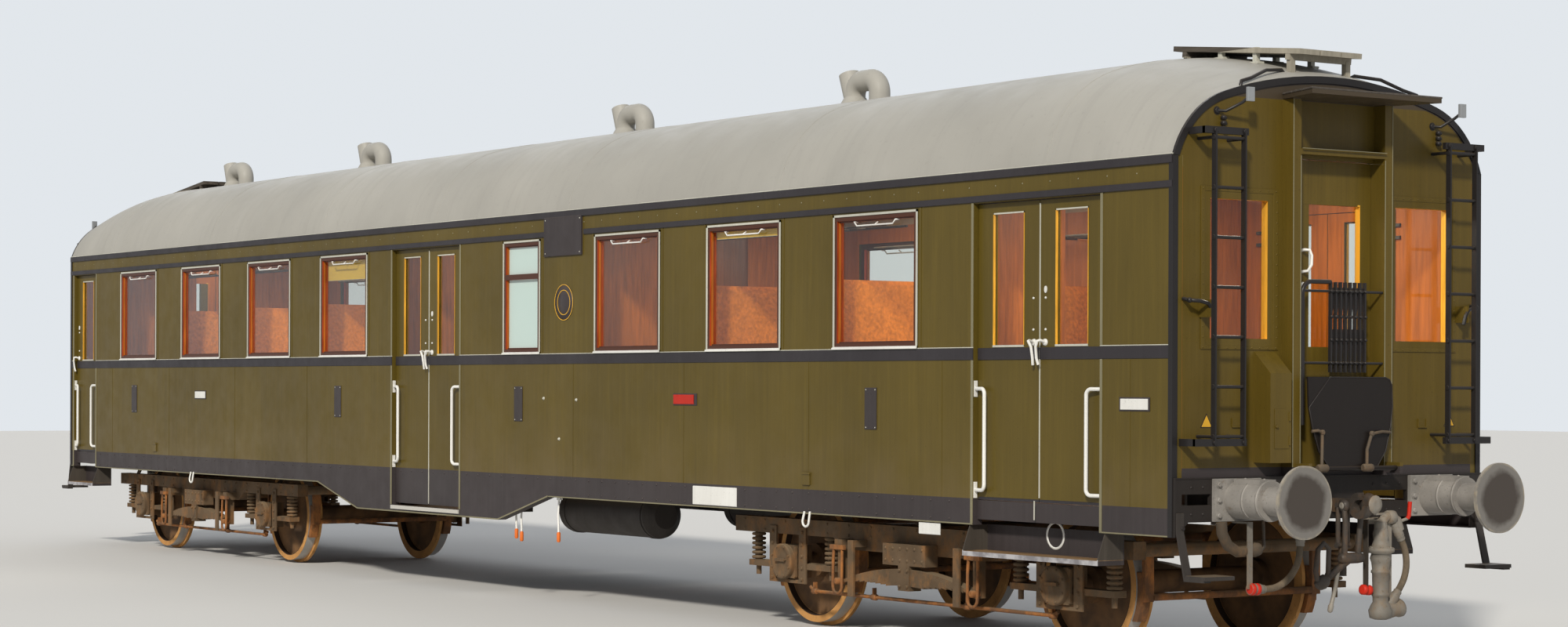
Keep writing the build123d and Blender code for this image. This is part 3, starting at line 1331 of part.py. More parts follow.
with BuildPart() as end_pipes:
    for end in (-1, 1):
        under = level(H_HEADSTOCK_BOTTOM)
        for rows in (LOW_SIDE_HOSE, HIGH_SIDE_HOSE):
            points = hose_points(end, rows)
            start = points[0]
            into = (points[0] - points[1]).normalized()
            elbow = start + into * (COCK_L + ELBOW_R)
            rod(start, start + into * COCK_L, COCK_R)
            rod(start + into * COCK_L, elbow, ELBOW_R)
            pipe_z = under - PIPE_R
            rod(elbow, (elbow.X, elbow.Y, pipe_z + PIPE_R), ELBOW_R)
            rod((elbow.X, elbow.Y, pipe_z), (elbow.X - end * PIPE_RUN, elbow.Y, pipe_z), PIPE_R)
            block(end * BODY_HALF_L, end * HEADSTOCK_X, elbow.Y - PIPE_CLAMP, elbow.Y + PIPE_CLAMP,
                  pipe_z, under)
            last = points[-1]
            onward = (points[-1] - points[-2]).normalized()
            holder = last + onward * HOLDER_L
            rod(last, holder, HOLDER_R)
            block(holder.X - STRAP_T / 2, holder.X + STRAP_T / 2, holder.Y - HOLDER_STRAP_W / 2,
                  holder.Y + HOLDER_STRAP_W / 2, holder.Z, under)
            block(end * BODY_HALF_L, holder.X + end * STRAP_T / 2, holder.Y - HOLDER_STRAP_W / 2,
                  holder.Y + HOLDER_STRAP_W / 2, under - STRAP_T, under)
        x = end * (HEADSTOCK_X + HEATER_OUT)
        y = end * HEATER_Y
        for top, bottom, radius in HEATER_PIECES:
            rod((x, y, level(bottom)), (x, y, level(top)), radius)
        foot = (HEATER_PIECES[-1][0] + HEATER_PIECES[-1][1]) / 2
        rod((x, y, level(foot)), (x, y + end * HEATER_ELBOW, level(foot)), HOLDER_R)
        rod((x, y, under - PIPE_R), (x - end * PIPE_RUN, y, under - PIPE_R), PIPE_R)
        block(end * BODY_HALF_L, end * HEADSTOCK_X, y - PIPE_CLAMP, y + PIPE_CLAMP, under - PIPE_R, under)
save(end_pipes, "end_pipes")


# Blinds, half drawn in two windows of each side
with BuildPart() as blinds:
    for side in (-1, 1):
        for x, low in BLIND_ROWS:
            y = side * (BODY_HALF_W + FRAME_PROUD - FRAME_T - SEAT)
            half = WINDOW_W / 2 - FRAME_BAR
            block(x - half, x + half, y, y - side * BLIND_T, level(low), level(H_WINDOW_HEAD))
save(blinds, "blinds")


# Wheelsets: two wheels pressed on an axle, turned as one profile about the axle
def wheelset(x, name):
    tread_y = WHEEL_INNER_Y + FLANGE_W
    rim_y = WHEEL_INNER_Y + WHEEL_W
    web_y0 = WHEEL_INNER_Y + WEB_INSET
    web_y1 = web_y0 + WEB_T
    rim_r = WHEEL_R - TREAD_T
    with BuildPart() as pair:
        with BuildSketch(Plane.YZ.offset(x)) as half:
            with BuildLine():
                Polyline(
                    (0, Z_AXLE), (0, Z_AXLE + AXLE_R), (WHEEL_INNER_Y + HUB_INSET, Z_AXLE + AXLE_R),
                    (WHEEL_INNER_Y + HUB_INSET, Z_AXLE + HUB_R), (web_y0, Z_AXLE + HUB_R),
                    (web_y0, Z_AXLE + rim_r), (WHEEL_INNER_Y, Z_AXLE + rim_r),
                    (WHEEL_INNER_Y, Z_AXLE + WHEEL_R + FLANGE_DEPTH),
                    (tread_y, Z_AXLE + WHEEL_R + FLANGE_DEPTH), (tread_y, Z_AXLE + WHEEL_R),
                    (rim_y, Z_AXLE + WHEEL_R),
                    (rim_y, Z_AXLE + rim_r), (web_y1, Z_AXLE + rim_r), (web_y1, Z_AXLE + HUB_R),
                    (rim_y + HUB_OUT, Z_AXLE + HUB_R), (rim_y + HUB_OUT, Z_AXLE + JOURNAL_R),
                    (JOURNAL_END_Y, Z_AXLE + JOURNAL_R), (JOURNAL_END_Y, Z_AXLE), close=True,
                )
            make_face()
        revolve(axis=Axis((x, 0, Z_AXLE), (0, 1, 0)))
        mirror(about=Plane.XZ)
    save(pair, name)


for end, end_name in ((1, "near"), (-1, "far")):
    wheelset(end * (PIVOT_X + WHEELBASE / 2), "wheelset_" + end_name + "_outer")
    wheelset(end * (PIVOT_X - WHEELBASE / 2), "wheelset_" + end_name + "_inner")


# Coil spring, drawn once about Z from its foot: a core with one ring for each turn
with BuildPart() as coil_spring:
    spring_h = H_FRAME_BOTTOM - H_SPRING_FOOT
    turn_h = spring_h / SPRING_TURNS
    with BuildSketch(Plane.XZ):
        with Locations((SPRING_CORE_R / 2, spring_h / 2)):
            Rectangle(SPRING_CORE_R, spring_h)
        for i in range(SPRING_TURNS):
            with Locations((SPRING_R - SPRING_WIRE_R, (i + 0.5) * turn_h)):
                Circle(SPRING_WIRE_R)
            with Locations((SPRING_R / 2, (i + 0.5) * turn_h)):
                Rectangle(SPRING_R - 2 * SPRING_WIRE_R, SPRING_WIRE_R)
    revolve(axis=Axis.Z)


# Bogie: frame, axle boxes, springs and brake gear
def bogie(end, end_name):
    cx = end * PIVOT_X
    axles = (cx - WHEELBASE / 2, cx + WHEELBASE / 2)
    side_y0 = SIDE_FRAME_Y - SIDE_FRAME_T / 2
    side_y1 = SIDE_FRAME_Y + SIDE_FRAME_T / 2
    low = level(H_FRAME_BOTTOM)
    belly_half = WHEELBASE / 2 - SPRING_OFFSET - SPRING_R - FRAME_SLOPE - FRAME_CLEAR
    with BuildPart() as frame:
        for side in (-1, 1):
            with BuildSketch(Plane.XZ.offset(-side * side_y0)) as plate:
                with BuildLine():
                    Polyline(
                        (cx - FRAME_HALF_L, low), (cx - belly_half - FRAME_SLOPE, low),
                        (cx - belly_half, level(H_FRAME_BELLY)), (cx + belly_half, level(H_FRAME_BELLY)),
                        (cx + belly_half + FRAME_SLOPE, low), (cx + FRAME_HALF_L, low),
                        (cx + FRAME_HALF_L, level(H_FRAME_TOP)), (cx - FRAME_HALF_L, level(H_FRAME_TOP)),
                        close=True,
                    )
                make_face()
            extrude(plate.sketch, amount=-side * SIDE_FRAME_T)
        for x in (cx - TRANSOM_X, cx + TRANSOM_X):
            block(x - TRANSOM_W / 2, x + TRANSOM_W / 2, -side_y0, side_y0,
                  level(H_FRAME_BELLY), level(H_TRANSOM_TOP))
        for x in (cx - FRAME_HALF_L + HEADTUBE_R, cx + FRAME_HALF_L - HEADTUBE_R):
            rod((x, -side_y0, level(H_HEADTUBE)), (x, side_y0, level(H_HEADTUBE)), HEADTUBE_R)
        block(cx - BOGIE_BOLSTER_HALF, cx + BOGIE_BOLSTER_HALF, -side_y0, side_y0,
              level(H_BOLSTER_BOTTOM), level(H_PIVOT) - PIVOT_GAP)
        for side in (-1, 1):
            leaf_y1 = side * (LEAF_SPRING_Y + BUCKLE_W / 2)
            for x in (cx - LEAF_HALF_L, cx + LEAF_HALF_L):
                block(x - HANGER_PAD, x + HANGER_PAD, side * side_y1, leaf_y1, level(H_FRAME_BELLY), low)
            block(cx - SADDLE_HALF, cx + SADDLE_HALF, side * side_y1, leaf_y1, level(H_BUCKLE_TOP), low)
            for x in (cx - POST_X, cx + POST_X):
                block(x - POST_HALF, x + POST_HALF, leaf_y1, leaf_y1 + side * POST_T, level(H_POST_FOOT), low)
                block(x - POST_HALF, x + POST_HALF, side * side_y1, leaf_y1, low - POST_ARM_H, low)
            for x in axles:
                guard_y0 = side * side_y1
                guard_y1 = side * (side_y1 + GUARD_T)
                foot = level(H_GUARD_FOOT)
                for way in (-1, 1):
                    block(x + way * GUARD_IN, x + way * GUARD_OUT, guard_y0, guard_y1, foot, level(H_GUARD_TOP))
                block(x - GUARD_OUT, x + GUARD_OUT, guard_y0, guard_y1, foot, foot + GUARD_TIE_H)
    save(frame, "bogie_frame_" + end_name)

    with BuildPart() as boxes:
        for x in axles:
            for side in (-1, 1):
                y0 = side * BOX_Y0
                y1 = side * BOX_Y1
                block(x - BOX_HALF_W, x + BOX_HALF_W, y0, side * (BOX_Y1 - BOX_COVER_T),
                      Z_AXLE - BOX_HALF_H, Z_AXLE + BOX_HALF_H)
                rod((x, side * (BOX_Y1 - BOX_COVER_T), Z_AXLE), (x, y1, Z_AXLE), BOX_COVER_R)
                arm_half = SPRING_OFFSET + SPRING_R
                block(x - arm_half, x + arm_half, side * (SIDE_FRAME_Y - SPRING_R),
                      side * (SIDE_FRAME_Y + SPRING_R), level(H_SPRING_FOOT) - ARM_T, level(H_SPRING_FOOT))
                for way in (-1, 1):
                    bolt_x = x + way * SPRING_OFFSET
                    bolt_z = level(H_SPRING_FOOT) - ARM_T
                    rod((bolt_x, side * SIDE_FRAME_Y, bolt_z - SPRING_BOLT_L),
                        (bolt_x, side * SIDE_FRAME_Y, bolt_z), SPRING_BOLT_R)
                rod((x, y0, Z_AXLE), (x, side * (JOURNAL_END_Y + JOURNAL_END_GAP), Z_AXLE),
                    JOURNAL_R + JOURNAL_PLAY, Mode.SUBTRACT)
    save(boxes, "axle_boxes_" + end_name)

    with BuildPart() as springs:
        feet = [(x + way * SPRING_OFFSET, side * SIDE_FRAME_Y, level(H_SPRING_FOOT))
                for x in axles for side in (-1, 1) for way in (-1, 1)]
        with Locations(*feet):
            add(coil_spring.part)
        for side in (-1, 1):
            y = side * LEAF_SPRING_Y
            block(cx - BUCKLE_HALF, cx + BUCKLE_HALF, y - BUCKLE_W / 2, y + BUCKLE_W / 2,
                  level(H_BUCKLE_BOTTOM), level(H_BUCKLE_TOP))
            for x in (cx - LEAF_HALF_L, cx + LEAF_HALF_L):
                block(x - SHACKLE_T / 2, x + SHACKLE_T / 2, y - LEAF_W / 2, y + LEAF_W / 2,
                      level(H_LEAF_EYE) - SHACKLE_T, level(H_FRAME_BELLY))
            for i in range(LEAF_COUNT):
                reach = LEAF_HALF_L * (1 - i / LEAF_COUNT * LEAF_TAPER)
                z = level(H_LEAF_CENTRE) - i * LEAF_PLATE_T
                sag = (H_LEAF_CENTRE - H_LEAF_EYE) * (reach / LEAF_HALF_L) ** 2
                with BuildSketch(Plane.XZ.offset(-y + LEAF_W / 2)) as leaf:
                    with BuildLine():
                        ThreePointArc((cx - reach, z - sag), (cx, z), (cx + reach, z - sag))
                        Line((cx + reach, z - sag), (cx + reach, z - sag - LEAF_PLATE_T))
                        ThreePointArc((cx + reach, z - sag - LEAF_PLATE_T), (cx, z - LEAF_PLATE_T),
                                      (cx - reach, z - sag - LEAF_PLATE_T))
                        Line((cx - reach, z - sag - LEAF_PLATE_T), (cx - reach, z - sag))
                    make_face()
                extrude(leaf.sketch, amount=-LEAF_W)
    save(springs, "springs_" + end_name)

    with BuildPart() as brakes:
        for x in axles:
            for way in (-1, 1):
                r0 = WHEEL_R + SHOE_GAP
                for side in (-1, 1):
                    y0 = side * SHOE_Y0
                    with BuildSketch(Plane.XZ.offset(-y0)) as shoe:
                        with Locations((x, Z_AXLE)):
                            Circle(r0 + SHOE_T)
                            Circle(r0, mode=Mode.SUBTRACT)
                        with Locations((x + way * (r0 + SHOE_T), Z_AXLE + SHOE_DROP)):
                            Rectangle(2 * SHOE_REACH, SHOE_H, mode=Mode.INTERSECT)
                    extrude(shoe.sketch, amount=-side * SHOE_W)
                hang_x = x + way * (r0 + SHOE_T + HANGER_T / 2 - SHOE_SINK)
                for side in (-1, 1):
                    y0 = side * SHOE_Y0
                    block(hang_x - HANGER_T / 2, hang_x + HANGER_T / 2, y0, y0 + side * SHOE_W,
                          Z_AXLE + SHOE_DROP - HANGER_T, level(H_FRAME_TOP) - HANGER_T)
                rod((hang_x, -SHOE_Y0, Z_AXLE + SHOE_DROP), (hang_x, SHOE_Y0, Z_AXLE + SHOE_DROP), BEAM_R)
                tube_z = level(H_FRAME_TOP) - 2 * HANGER_T
                rod((hang_x, -side_y0, tube_z), (hang_x, side_y0, tube_z), BEAM_R)
    save(brakes, "brake_gear_" + end_name)


bogie(1, "near")
bogie(-1, "far")
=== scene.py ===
import bmesh
import bpy
from math import acos, asin, cos, pi, radians, sin
from mathutils import Matrix, Vector


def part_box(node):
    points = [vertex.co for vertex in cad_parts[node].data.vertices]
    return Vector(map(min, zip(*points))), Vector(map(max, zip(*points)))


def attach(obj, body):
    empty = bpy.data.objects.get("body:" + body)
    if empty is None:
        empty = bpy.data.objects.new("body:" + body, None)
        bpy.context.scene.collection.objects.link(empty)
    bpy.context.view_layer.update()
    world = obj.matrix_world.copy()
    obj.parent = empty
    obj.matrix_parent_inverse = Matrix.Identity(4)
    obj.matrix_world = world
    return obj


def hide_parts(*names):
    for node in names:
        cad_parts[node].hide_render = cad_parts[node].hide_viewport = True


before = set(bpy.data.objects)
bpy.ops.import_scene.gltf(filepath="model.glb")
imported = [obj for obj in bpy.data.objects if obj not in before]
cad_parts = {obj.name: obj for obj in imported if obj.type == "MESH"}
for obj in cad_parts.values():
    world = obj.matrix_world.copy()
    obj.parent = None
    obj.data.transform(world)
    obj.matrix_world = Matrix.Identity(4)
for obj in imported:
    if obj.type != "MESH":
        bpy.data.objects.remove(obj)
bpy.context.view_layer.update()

# Sizes in metres, the same as the frame's. Heights called H_ are above the rail head. Pieces are drawn with
# such heights too, and Shape.build lifts them. INNER_X and INNER_Y lie just outside the walls' inner faces.
RAIL = 0.028
HALF_L = 9.35
HALF_W = 1.385
LEAF_OUT_Y = 1.345
INNER_Y = 1.306
INNER_X = 9.281
STEP_BACK_Y = 1.2235
H_LINING = 1.285
H_END_SLATE = 1.300
H_EAVES = 3.265
H_CROWN = 4.055
H_SILL = 2.075
H_HEAD = 3.05
H_WAIST = (1.99, 2.072)
H_STRIP = (3.062, 3.106)
H_BLACK = 1.047
H_SOLE = 0.867
WINDOW_W = 1.01
WINDOWS = [-7.348 + 1.685 * i for i in range(4)] + [2.853 + 1.685 * i for i in range(3)]
CLOSET_X = 1.138
CLOSET_W = 0.64
DOORS = {"near": (7.351, 8.665), "mid": (-1.283, 0.022), "far": (-9.258, -8.592)}
DOOR_GAP = 0.006
LEAF_BOTTOM = {"near": 1.06, "mid": 0.722, "far": 1.06}
LEAF_WINDOW = (0.33, 2.08, 2.985)
PIVOT_X = 6.3
HALF_BASE = 1.6
WHEEL_R = 0.475
HEADSTOCK_X = 9.38
BUFFER_Y = 0.875
H_BUFFER = 1.098
PLANK_T = 0.08
H_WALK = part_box("roof_walkways")[1][2] - PLANK_T - RAIL


ALONG = (1, 0, 0)
ACROSS = (0, 1, 0)
UPRIGHT = (0, 0, 1)


def up(height):
    """Height above the rail head, turned into Z."""
    return RAIL + height


def leaf_spans(door):
    """Name part and X span of each leaf of a door."""
    x0, x1 = DOORS[door]
    middle = (x0 + x1) / 2
    if door == "far":
        return [("", x0 + DOOR_GAP, x1 - DOOR_GAP)]
    return [("_a", x0 + DOOR_GAP, middle - DOOR_GAP / 2), ("_b", middle + DOOR_GAP / 2, x1 - DOOR_GAP)]


class Nodes:
    """A short way to write a material's nodes."""

    def __init__(self, name):
        self.material = bpy.data.materials.new(name)
        self.material.use_nodes = True
        self.tree = self.material.node_tree
        self.bsdf = self.tree.nodes["Principled BSDF"]
        self.coords = self.node("TexCoord").outputs["Object"]

    def set(self, socket, value):
        """Links an output to the socket, or writes a value in it."""
        if hasattr(value, "links"):
            self.tree.links.new(value, socket)
        elif socket.type == "RGBA" and len(value) == 3:
            socket.default_value = (*value, 1)
        else:
            socket.default_value = value

    def fill(self, node, **values):
        """Sets a node's inputs by name, with _ for a space."""
        for name, value in values.items():
            self.set(node.inputs[name.replace("_", " ")], value)
        return node

    def node(self, kind, **values):
        return self.fill(self.tree.nodes.new("ShaderNode" + kind), **values)

    def noise(self, scale, stretch=(1, 1, 1), detail=4, roughness=0.55, seed=0.0):
        place = self.node("Mapping", Vector=self.coords, Scale=stretch)
        self.fill(place, Location=(seed, seed * 0.7, seed * 1.3))
        node = self.node("TexNoise", Vector=place.outputs["Vector"], Scale=scale, Detail=detail)
        return self.fill(node, Roughness=roughness).outputs["Fac"]

    def waves(self, scale, distortion, direction):
        node = self.node("TexWave", Vector=self.coords, Scale=scale, Distortion=distortion)
        node.bands_direction = direction
        return node.outputs["Fac"]

    def axis(self, name):
        return self.node("SeparateXYZ", Vector=self.coords).outputs[name]

    def size(self, name):
        return self.math("ABSOLUTE", self.axis(name))

    def normal(self, name):
        """How far the surface faces along one of the piece's own axes, from -1 to 1."""
        return self.node("SeparateXYZ", Vector=self.node("TexCoord").outputs["Normal"]).outputs[name]

    def span(self, value, low, high, to_low=0.0, to_high=1.0):
        """value mapped from low..high to to_low..to_high, and held there."""
        node = self.node("MapRange", Value=value, From_Min=low, From_Max=high, To_Min=to_low, To_Max=to_high)
        return node.outputs["Result"]

    def cloud(self, scale, *limits):
        """Plain noise, mapped by span."""
        return self.span(self.noise(scale), *limits)

    def math(self, operation, a, b=0.0):
        node = self.node("Math")
        node.operation = operation
        self.set(node.inputs[0], a)
        self.set(node.inputs[1], b)
        return node.outputs[0]

    def times(self, a, b):
        return self.math("MULTIPLY", a, b)

    def distance(self, a, b):
        return self.math("SQRT", self.math("ADD", self.times(a, a), self.times(b, b)))

    def within(self, value, low, high):
        """1 where value lies between low and high."""
        return self.times(self.math("GREATER_THAN", value, low), self.math("LESS_THAN", value, high))

    def mix(self, factor, a, b):
        node = self.node("Mix")
        node.data_type = "RGBA"
        for i, value in ((0, factor), (6, a), (7, b)):
            self.set(node.inputs[i], value)
        return node.outputs[2]

    def dusty(self, colour, dust, amount):
        """Settled dust on what faces up."""
        if not dust:
            return colour
        return self.mix(self.times(self.span(self.normal("Z"), 0.3, 1.0), amount), colour, dust)

    def bump(self, height, strength, distance=0.002):
        """A bump on top of the bumps before it."""
        node = self.node("Bump", Height=height, Strength=strength, Distance=distance)
        normal = self.bsdf.inputs["Normal"]
        if normal.links:
            self.set(node.inputs["Normal"], normal.links[0].from_socket)
        self.set(normal, node.outputs["Normal"])

    def surface(self, colour, rough, metallic=0.0):
        self.fill(self.bsdf, Base_Color=colour, Roughness=rough, Metallic=metallic, Specular_IOR_Level=0.25)
        return self.material

    def mix_shaders(self, factor, first, second):
        node = self.node("MixShader")
        for socket, value in zip(node.inputs, (factor, first, second)):
            self.set(socket, value)
        return node.outputs[0]

    def finish_pane(self, solid):
        """The painted surface where solid is 1; elsewhere a thin clear pane that reflects more at a slant."""
        clear = self.node("BsdfTransparent", Color=(0.95, 0.96, 0.94))
        gloss = self.node("BsdfGlossy", Color=(0.75, 0.78, 0.8), Roughness=0.05)
        slant = self.math("POWER", self.node("LayerWeight", Blend=0.5).outputs["Facing"], 4.0)
        pane = self.mix_shaders(self.span(slant, 0.0, 1.0, 0.035, 0.9), clear.outputs[0], gloss.outputs[0])
        shader = self.mix_shaders(solid, pane, self.bsdf.outputs[0])
        self.set(self.tree.nodes["Material Output"].inputs["Surface"], shader)
        return self.material


def shade(colour, factor):
    """A darker or lighter version of a colour."""
    return tuple(min(1.0, c * factor) for c in colour)


def weathered(n, colour, streaks=0.25, broad=0.18, dust=None, dust_amount=0.0):
    """Paint with broad fading, vertical run marks, specks and dust on what faces up."""
    clouds = n.span(n.noise(0.9, (1, 1, 0.7)), 0.35, 0.7)
    faded = n.mix(clouds, shade(colour, 1 - broad), shade(colour, 1 + broad))
    runs = n.noise(7.0, (3.2, 3.2, 0.12), 5, 0.7, 3.1)
    faded = n.mix(n.span(runs, 0.52, 0.74, 0.0, streaks), faded, shade(colour, 1.9))
    faded = n.mix(n.span(runs, 0.48, 0.3, 0.0, streaks), faded, shade(colour, 0.45))
    specks = n.noise(70.0, (1, 1, 1), 2, 0.5, 9.0)
    faded = n.mix(n.span(specks, 0.66, 0.74, 0.0, 0.5), faded, shade(colour, 0.5))
    return n.dusty(faded, dust, dust_amount)


GREEN = (0.096, 0.067, 0.0098)
# The ends' green is the side's green a little darker: in part painted shade, matched to an end wall that lies
# partly in shadow.
END_GREEN_WITH_SHADE = (0.092, 0.061, 0.0085)
SLATE = (0.044, 0.036, 0.036)
HEADSTOCK = (0.022, 0.018, 0.016)
BLACK = (0.019, 0.017, 0.017)
PANEL = (0.4, 0.112, 0.012)
CEILING = (0.34, 0.25, 0.14)
HONEY = (0.72, 0.36, 0.035)
DUST = (0.26, 0.19, 0.115)


def lining(n):
    """The inner face of walls and doors: varnished panels, and pale paint above them."""
    grain = n.noise(30.0, (1, 1, 0.07), 6, 0.65, 5.0)
    panels = n.mix(n.span(grain, 0.35, 0.68), shade(PANEL, 0.72), shade(PANEL, 1.15))
    return n.mix(n.span(n.axis("Z"), up(3.19), up(3.2)), panels, CEILING)


def lined(n, name, plane):
    """1 on a wall's inner face, from the lining's foot up; plane is the face's distance from the middle."""
    behind = n.span(n.size(name), plane + 0.0005, plane - 0.0005)
    return n.times(behind, n.span(n.axis("Z"), up(H_LINING), up(H_LINING) + 0.001))


def body_paint(name, colour, bands):
    """Olive paint on the outside; inside the walls varnished panels."""
    n = Nodes(name)
    green = weathered(n, colour, 0.2, 0.12)
    z = n.axis("Z")
    low_dust = n.times(n.span(z, up(1.6), up(0.95)), n.cloud(2.2, 0.35, 0.75, 0.02, 0.3))
    green = n.mix(low_dust, green, shade(DUST, 0.7))
    if bands:
        inside = lined(n, "Y", INNER_Y)
    else:
        green = n.mix(n.span(z, up(H_END_SLATE), up(H_END_SLATE) - 0.001), green, SLATE)
        green = n.mix(n.span(z, up(3.66), up(3.661)), green, shade(DUST, 0.22))
        inside = lined(n, "X", INNER_X)
    colour_out = n.mix(inside, green, lining(n))
    n.bump(n.noise(1.3, (1, 1, 0.5), 3), 0.22, 0.02)
    n.bump(n.noise(45.0), 0.1, 0.001)
    return n.surface(colour_out, n.cloud(5.0, 0.3, 0.7, 0.34, 0.52))


def simple_paint(name, colour, rough, streaks, dust=None, dust_amount=0.0):
    """Painted metal with run marks, and dust where wanted."""
    n = Nodes(name)
    base = weathered(n, colour, streaks, 0.12, dust, dust_amount)
    n.bump(n.noise(40.0), 0.12, 0.001)
    return n.surface(base, n.cloud(6.0, 0.3, 0.7, rough - 0.08, rough + 0.1))


def roof_paint():
    n = Nodes("roof_paint")
    colour = (0.36, 0.346, 0.31)
    base = n.mix(n.cloud(0.7, 0.3, 0.7), shade(colour, 0.88), shade(colour, 1.06))
    across = n.noise(5.0, (2.0, 0.15, 0.15), 4, 0.65, 2.0)
    base = n.mix(n.span(across, 0.52, 0.75, 0.0, 0.3), base, shade(colour, 0.72))
    base = n.mix(n.cloud(24.0, 0.62, 0.75, 0.0, 0.35), base, shade(colour, 0.7))
    base = n.mix(n.span(n.size("X"), HALF_L - 0.002, HALF_L - 0.001), base, SLATE)
    inner = n.times(n.span(n.size("X"), HALF_L - 0.002, HALF_L - 0.003), n.span(n.size("Y"), 1.3345, 1.3335))
    inner = n.times(inner, n.span(n.axis("Z"), up(3.35), up(3.34)))
    base = n.mix(inner, base, CEILING)
    n.bump(n.noise(1.1), 0.3, 0.015)
    return n.surface(base, n.cloud(4.0, 0.3, 0.7, 0.44, 0.6))


def wood(name, colour, along="Z", rough=0.35):
    """Varnished wood with grain along one axis."""
    n = Nodes(name)
    stretch = {"X": (0.08, 1, 1), "Y": (1, 0.08, 1), "Z": (1, 1, 0.08)}[along]
    grain = n.noise(38.0, stretch, 6, 0.65)
    base = n.mix(n.span(grain, 0.35, 0.68), shade(colour, 0.62), shade(colour, 1.25))
    base = n.mix(n.cloud(1.7, 0.35, 0.7, 0.0, 0.5), base, shade(colour, 0.7))
    n.bump(grain, 0.15, 0.0006)
    return n.surface(base, n.span(grain, 0.3, 0.7, rough, rough + 0.15))


def rusty(name, colour, rust, amount=0.5, rough=0.75, dust=None, dust_amount=0.3):
    """Working iron: its own colour, patches of rust and settled dust."""
    n = Nodes(name)
    base = n.mix(n.cloud(3.0, 0.35, 0.65), shade(colour, 0.75), shade(colour, 1.2))
    patches = n.span(n.noise(7.0, (1, 1, 0.6), 8, 0.7, 4.0), 0.6 - 0.25 * amount, 0.72 - 0.1 * amount)
    base = n.mix(n.times(patches, min(1.0, 0.35 + amount)), base, rust)
    base = n.mix(n.span(n.noise(40.0, detail=3), 0.58, 0.72, 0.0, 0.45), base, shade(rust, 0.45))
    base = n.dusty(base, dust, dust_amount)
    n.bump(n.noise(30.0, detail=6), 0.35, 0.002)
    return n.surface(base, n.cloud(9.0, 0.3, 0.7, rough - 0.1, min(0.95, rough + 0.12)), 0.15)


def frame_wood():
    """Red-brown window frames; the ends' frames are green outside and honey-coloured inside."""
    n = Nodes("frame_wood")
    colour = (0.34, 0.048, 0.012)
    grain = n.noise(38.0, (1, 1, 0.08), 6, 0.65)
    base = n.mix(n.span(grain, 0.35, 0.68), shade(colour, 0.62), shade(colour, 1.25))
    base = n.mix(n.span(n.math("ABSOLUTE", n.normal("Y")), 0.5, 0.8), base, (0.07, 0.024, 0.012))
    honey = n.mix(n.span(grain, 0.35, 0.68), shade(HONEY, 0.8), shade(HONEY, 1.15))
    base = n.mix(n.span(n.size("X"), 9.27, 9.28), base, honey)
    base = n.mix(n.span(n.size("X"), HALF_L - 0.0015, HALF_L - 0.0005), base, weathered(n, END_GREEN_WITH_SHADE, 0.2))
    n.bump(grain, 0.15, 0.0006)
    return n.surface(base, n.span(grain, 0.3, 0.7, 0.28, 0.42))


def glass():
    """Thin panes with a little haze; the closet windows are frosted pale green."""
    n = Nodes("window_pane")
    n.fill(n.bsdf, Base_Color=(0.5, 0.62, 0.58), Roughness=0.35)
    closet = n.within(n.axis("X"), CLOSET_X - CLOSET_W / 2, CLOSET_X + CLOSET_W / 2)
    haze = n.span(n.noise(1.4, (1, 1, 0.6), 3), 0.45, 0.8, 0.002, 0.014)
    return n.finish_pane(n.math("MAXIMUM", closet, haze))


def leaf_paint():
    """Side door leaves: paint outside, panels inside, and clear panes in the window openings."""
    n = Nodes("door_paint")
    z = n.axis("Z")
    colour = weathered(n, GREEN, 0.18, 0.12)
    colour = n.mix(n.span(z, up(H_BLACK), up(H_BLACK) - 0.001), colour, weathered(n, SLATE, 0.18))
    inside = lined(n, "Y", INNER_Y)
    colour = n.mix(inside, colour, lining(n))
    n.bump(n.noise(1.6, (1, 1, 0.5), 3), 0.2, 0.01)
    n.surface(colour, n.cloud(5.0, 0.3, 0.7, 0.34, 0.5))
    width, low, high = LEAF_WINDOW
    centres = [(x0 + x1) / 2 for door in DOORS for part, x0, x1 in leaf_spans(door)]
    opening = None
    for centre in centres:
        strip = n.within(n.axis("X"), centre - width / 2 + 0.0005, centre + width / 2 - 0.0005)
        opening = strip if opening is None else n.math("MAXIMUM", opening, strip)
    opening = n.times(opening, n.within(z, up(low) + 0.0005, up(high) - 0.0005))
    return n.finish_pane(n.math("SUBTRACT", 1.0, opening))


def end_door_paint():
    """End doors: green outside, panels inside, honey-coloured reveals and a clear pane."""
    n = Nodes("end_door_paint")
    z, x, y = n.axis("Z"), n.size("X"), n.size("Y")
    colour = weathered(n, END_GREEN_WITH_SHADE, 0.25)
    reveal = n.times(n.within(y, 0.2555, 0.2785), n.within(z, up(2.07), up(3.01)))
    colour = n.mix(reveal, colour, HONEY)
    colour = n.mix(n.span(x, 9.3235, 9.3225), colour, n.mix(reveal, lining(n), HONEY))
    n.surface(colour, n.cloud(5.0, 0.3, 0.7, 0.36, 0.52))
    clear = n.within(n.times(n.axis("Y"), n.math("SIGN", n.axis("X"))), -0.186, 0.256)
    opening = n.times(clear, n.within(z, up(2.0755), up(2.9995)))
    return n.finish_pane(n.math("SUBTRACT", 1.0, opening))


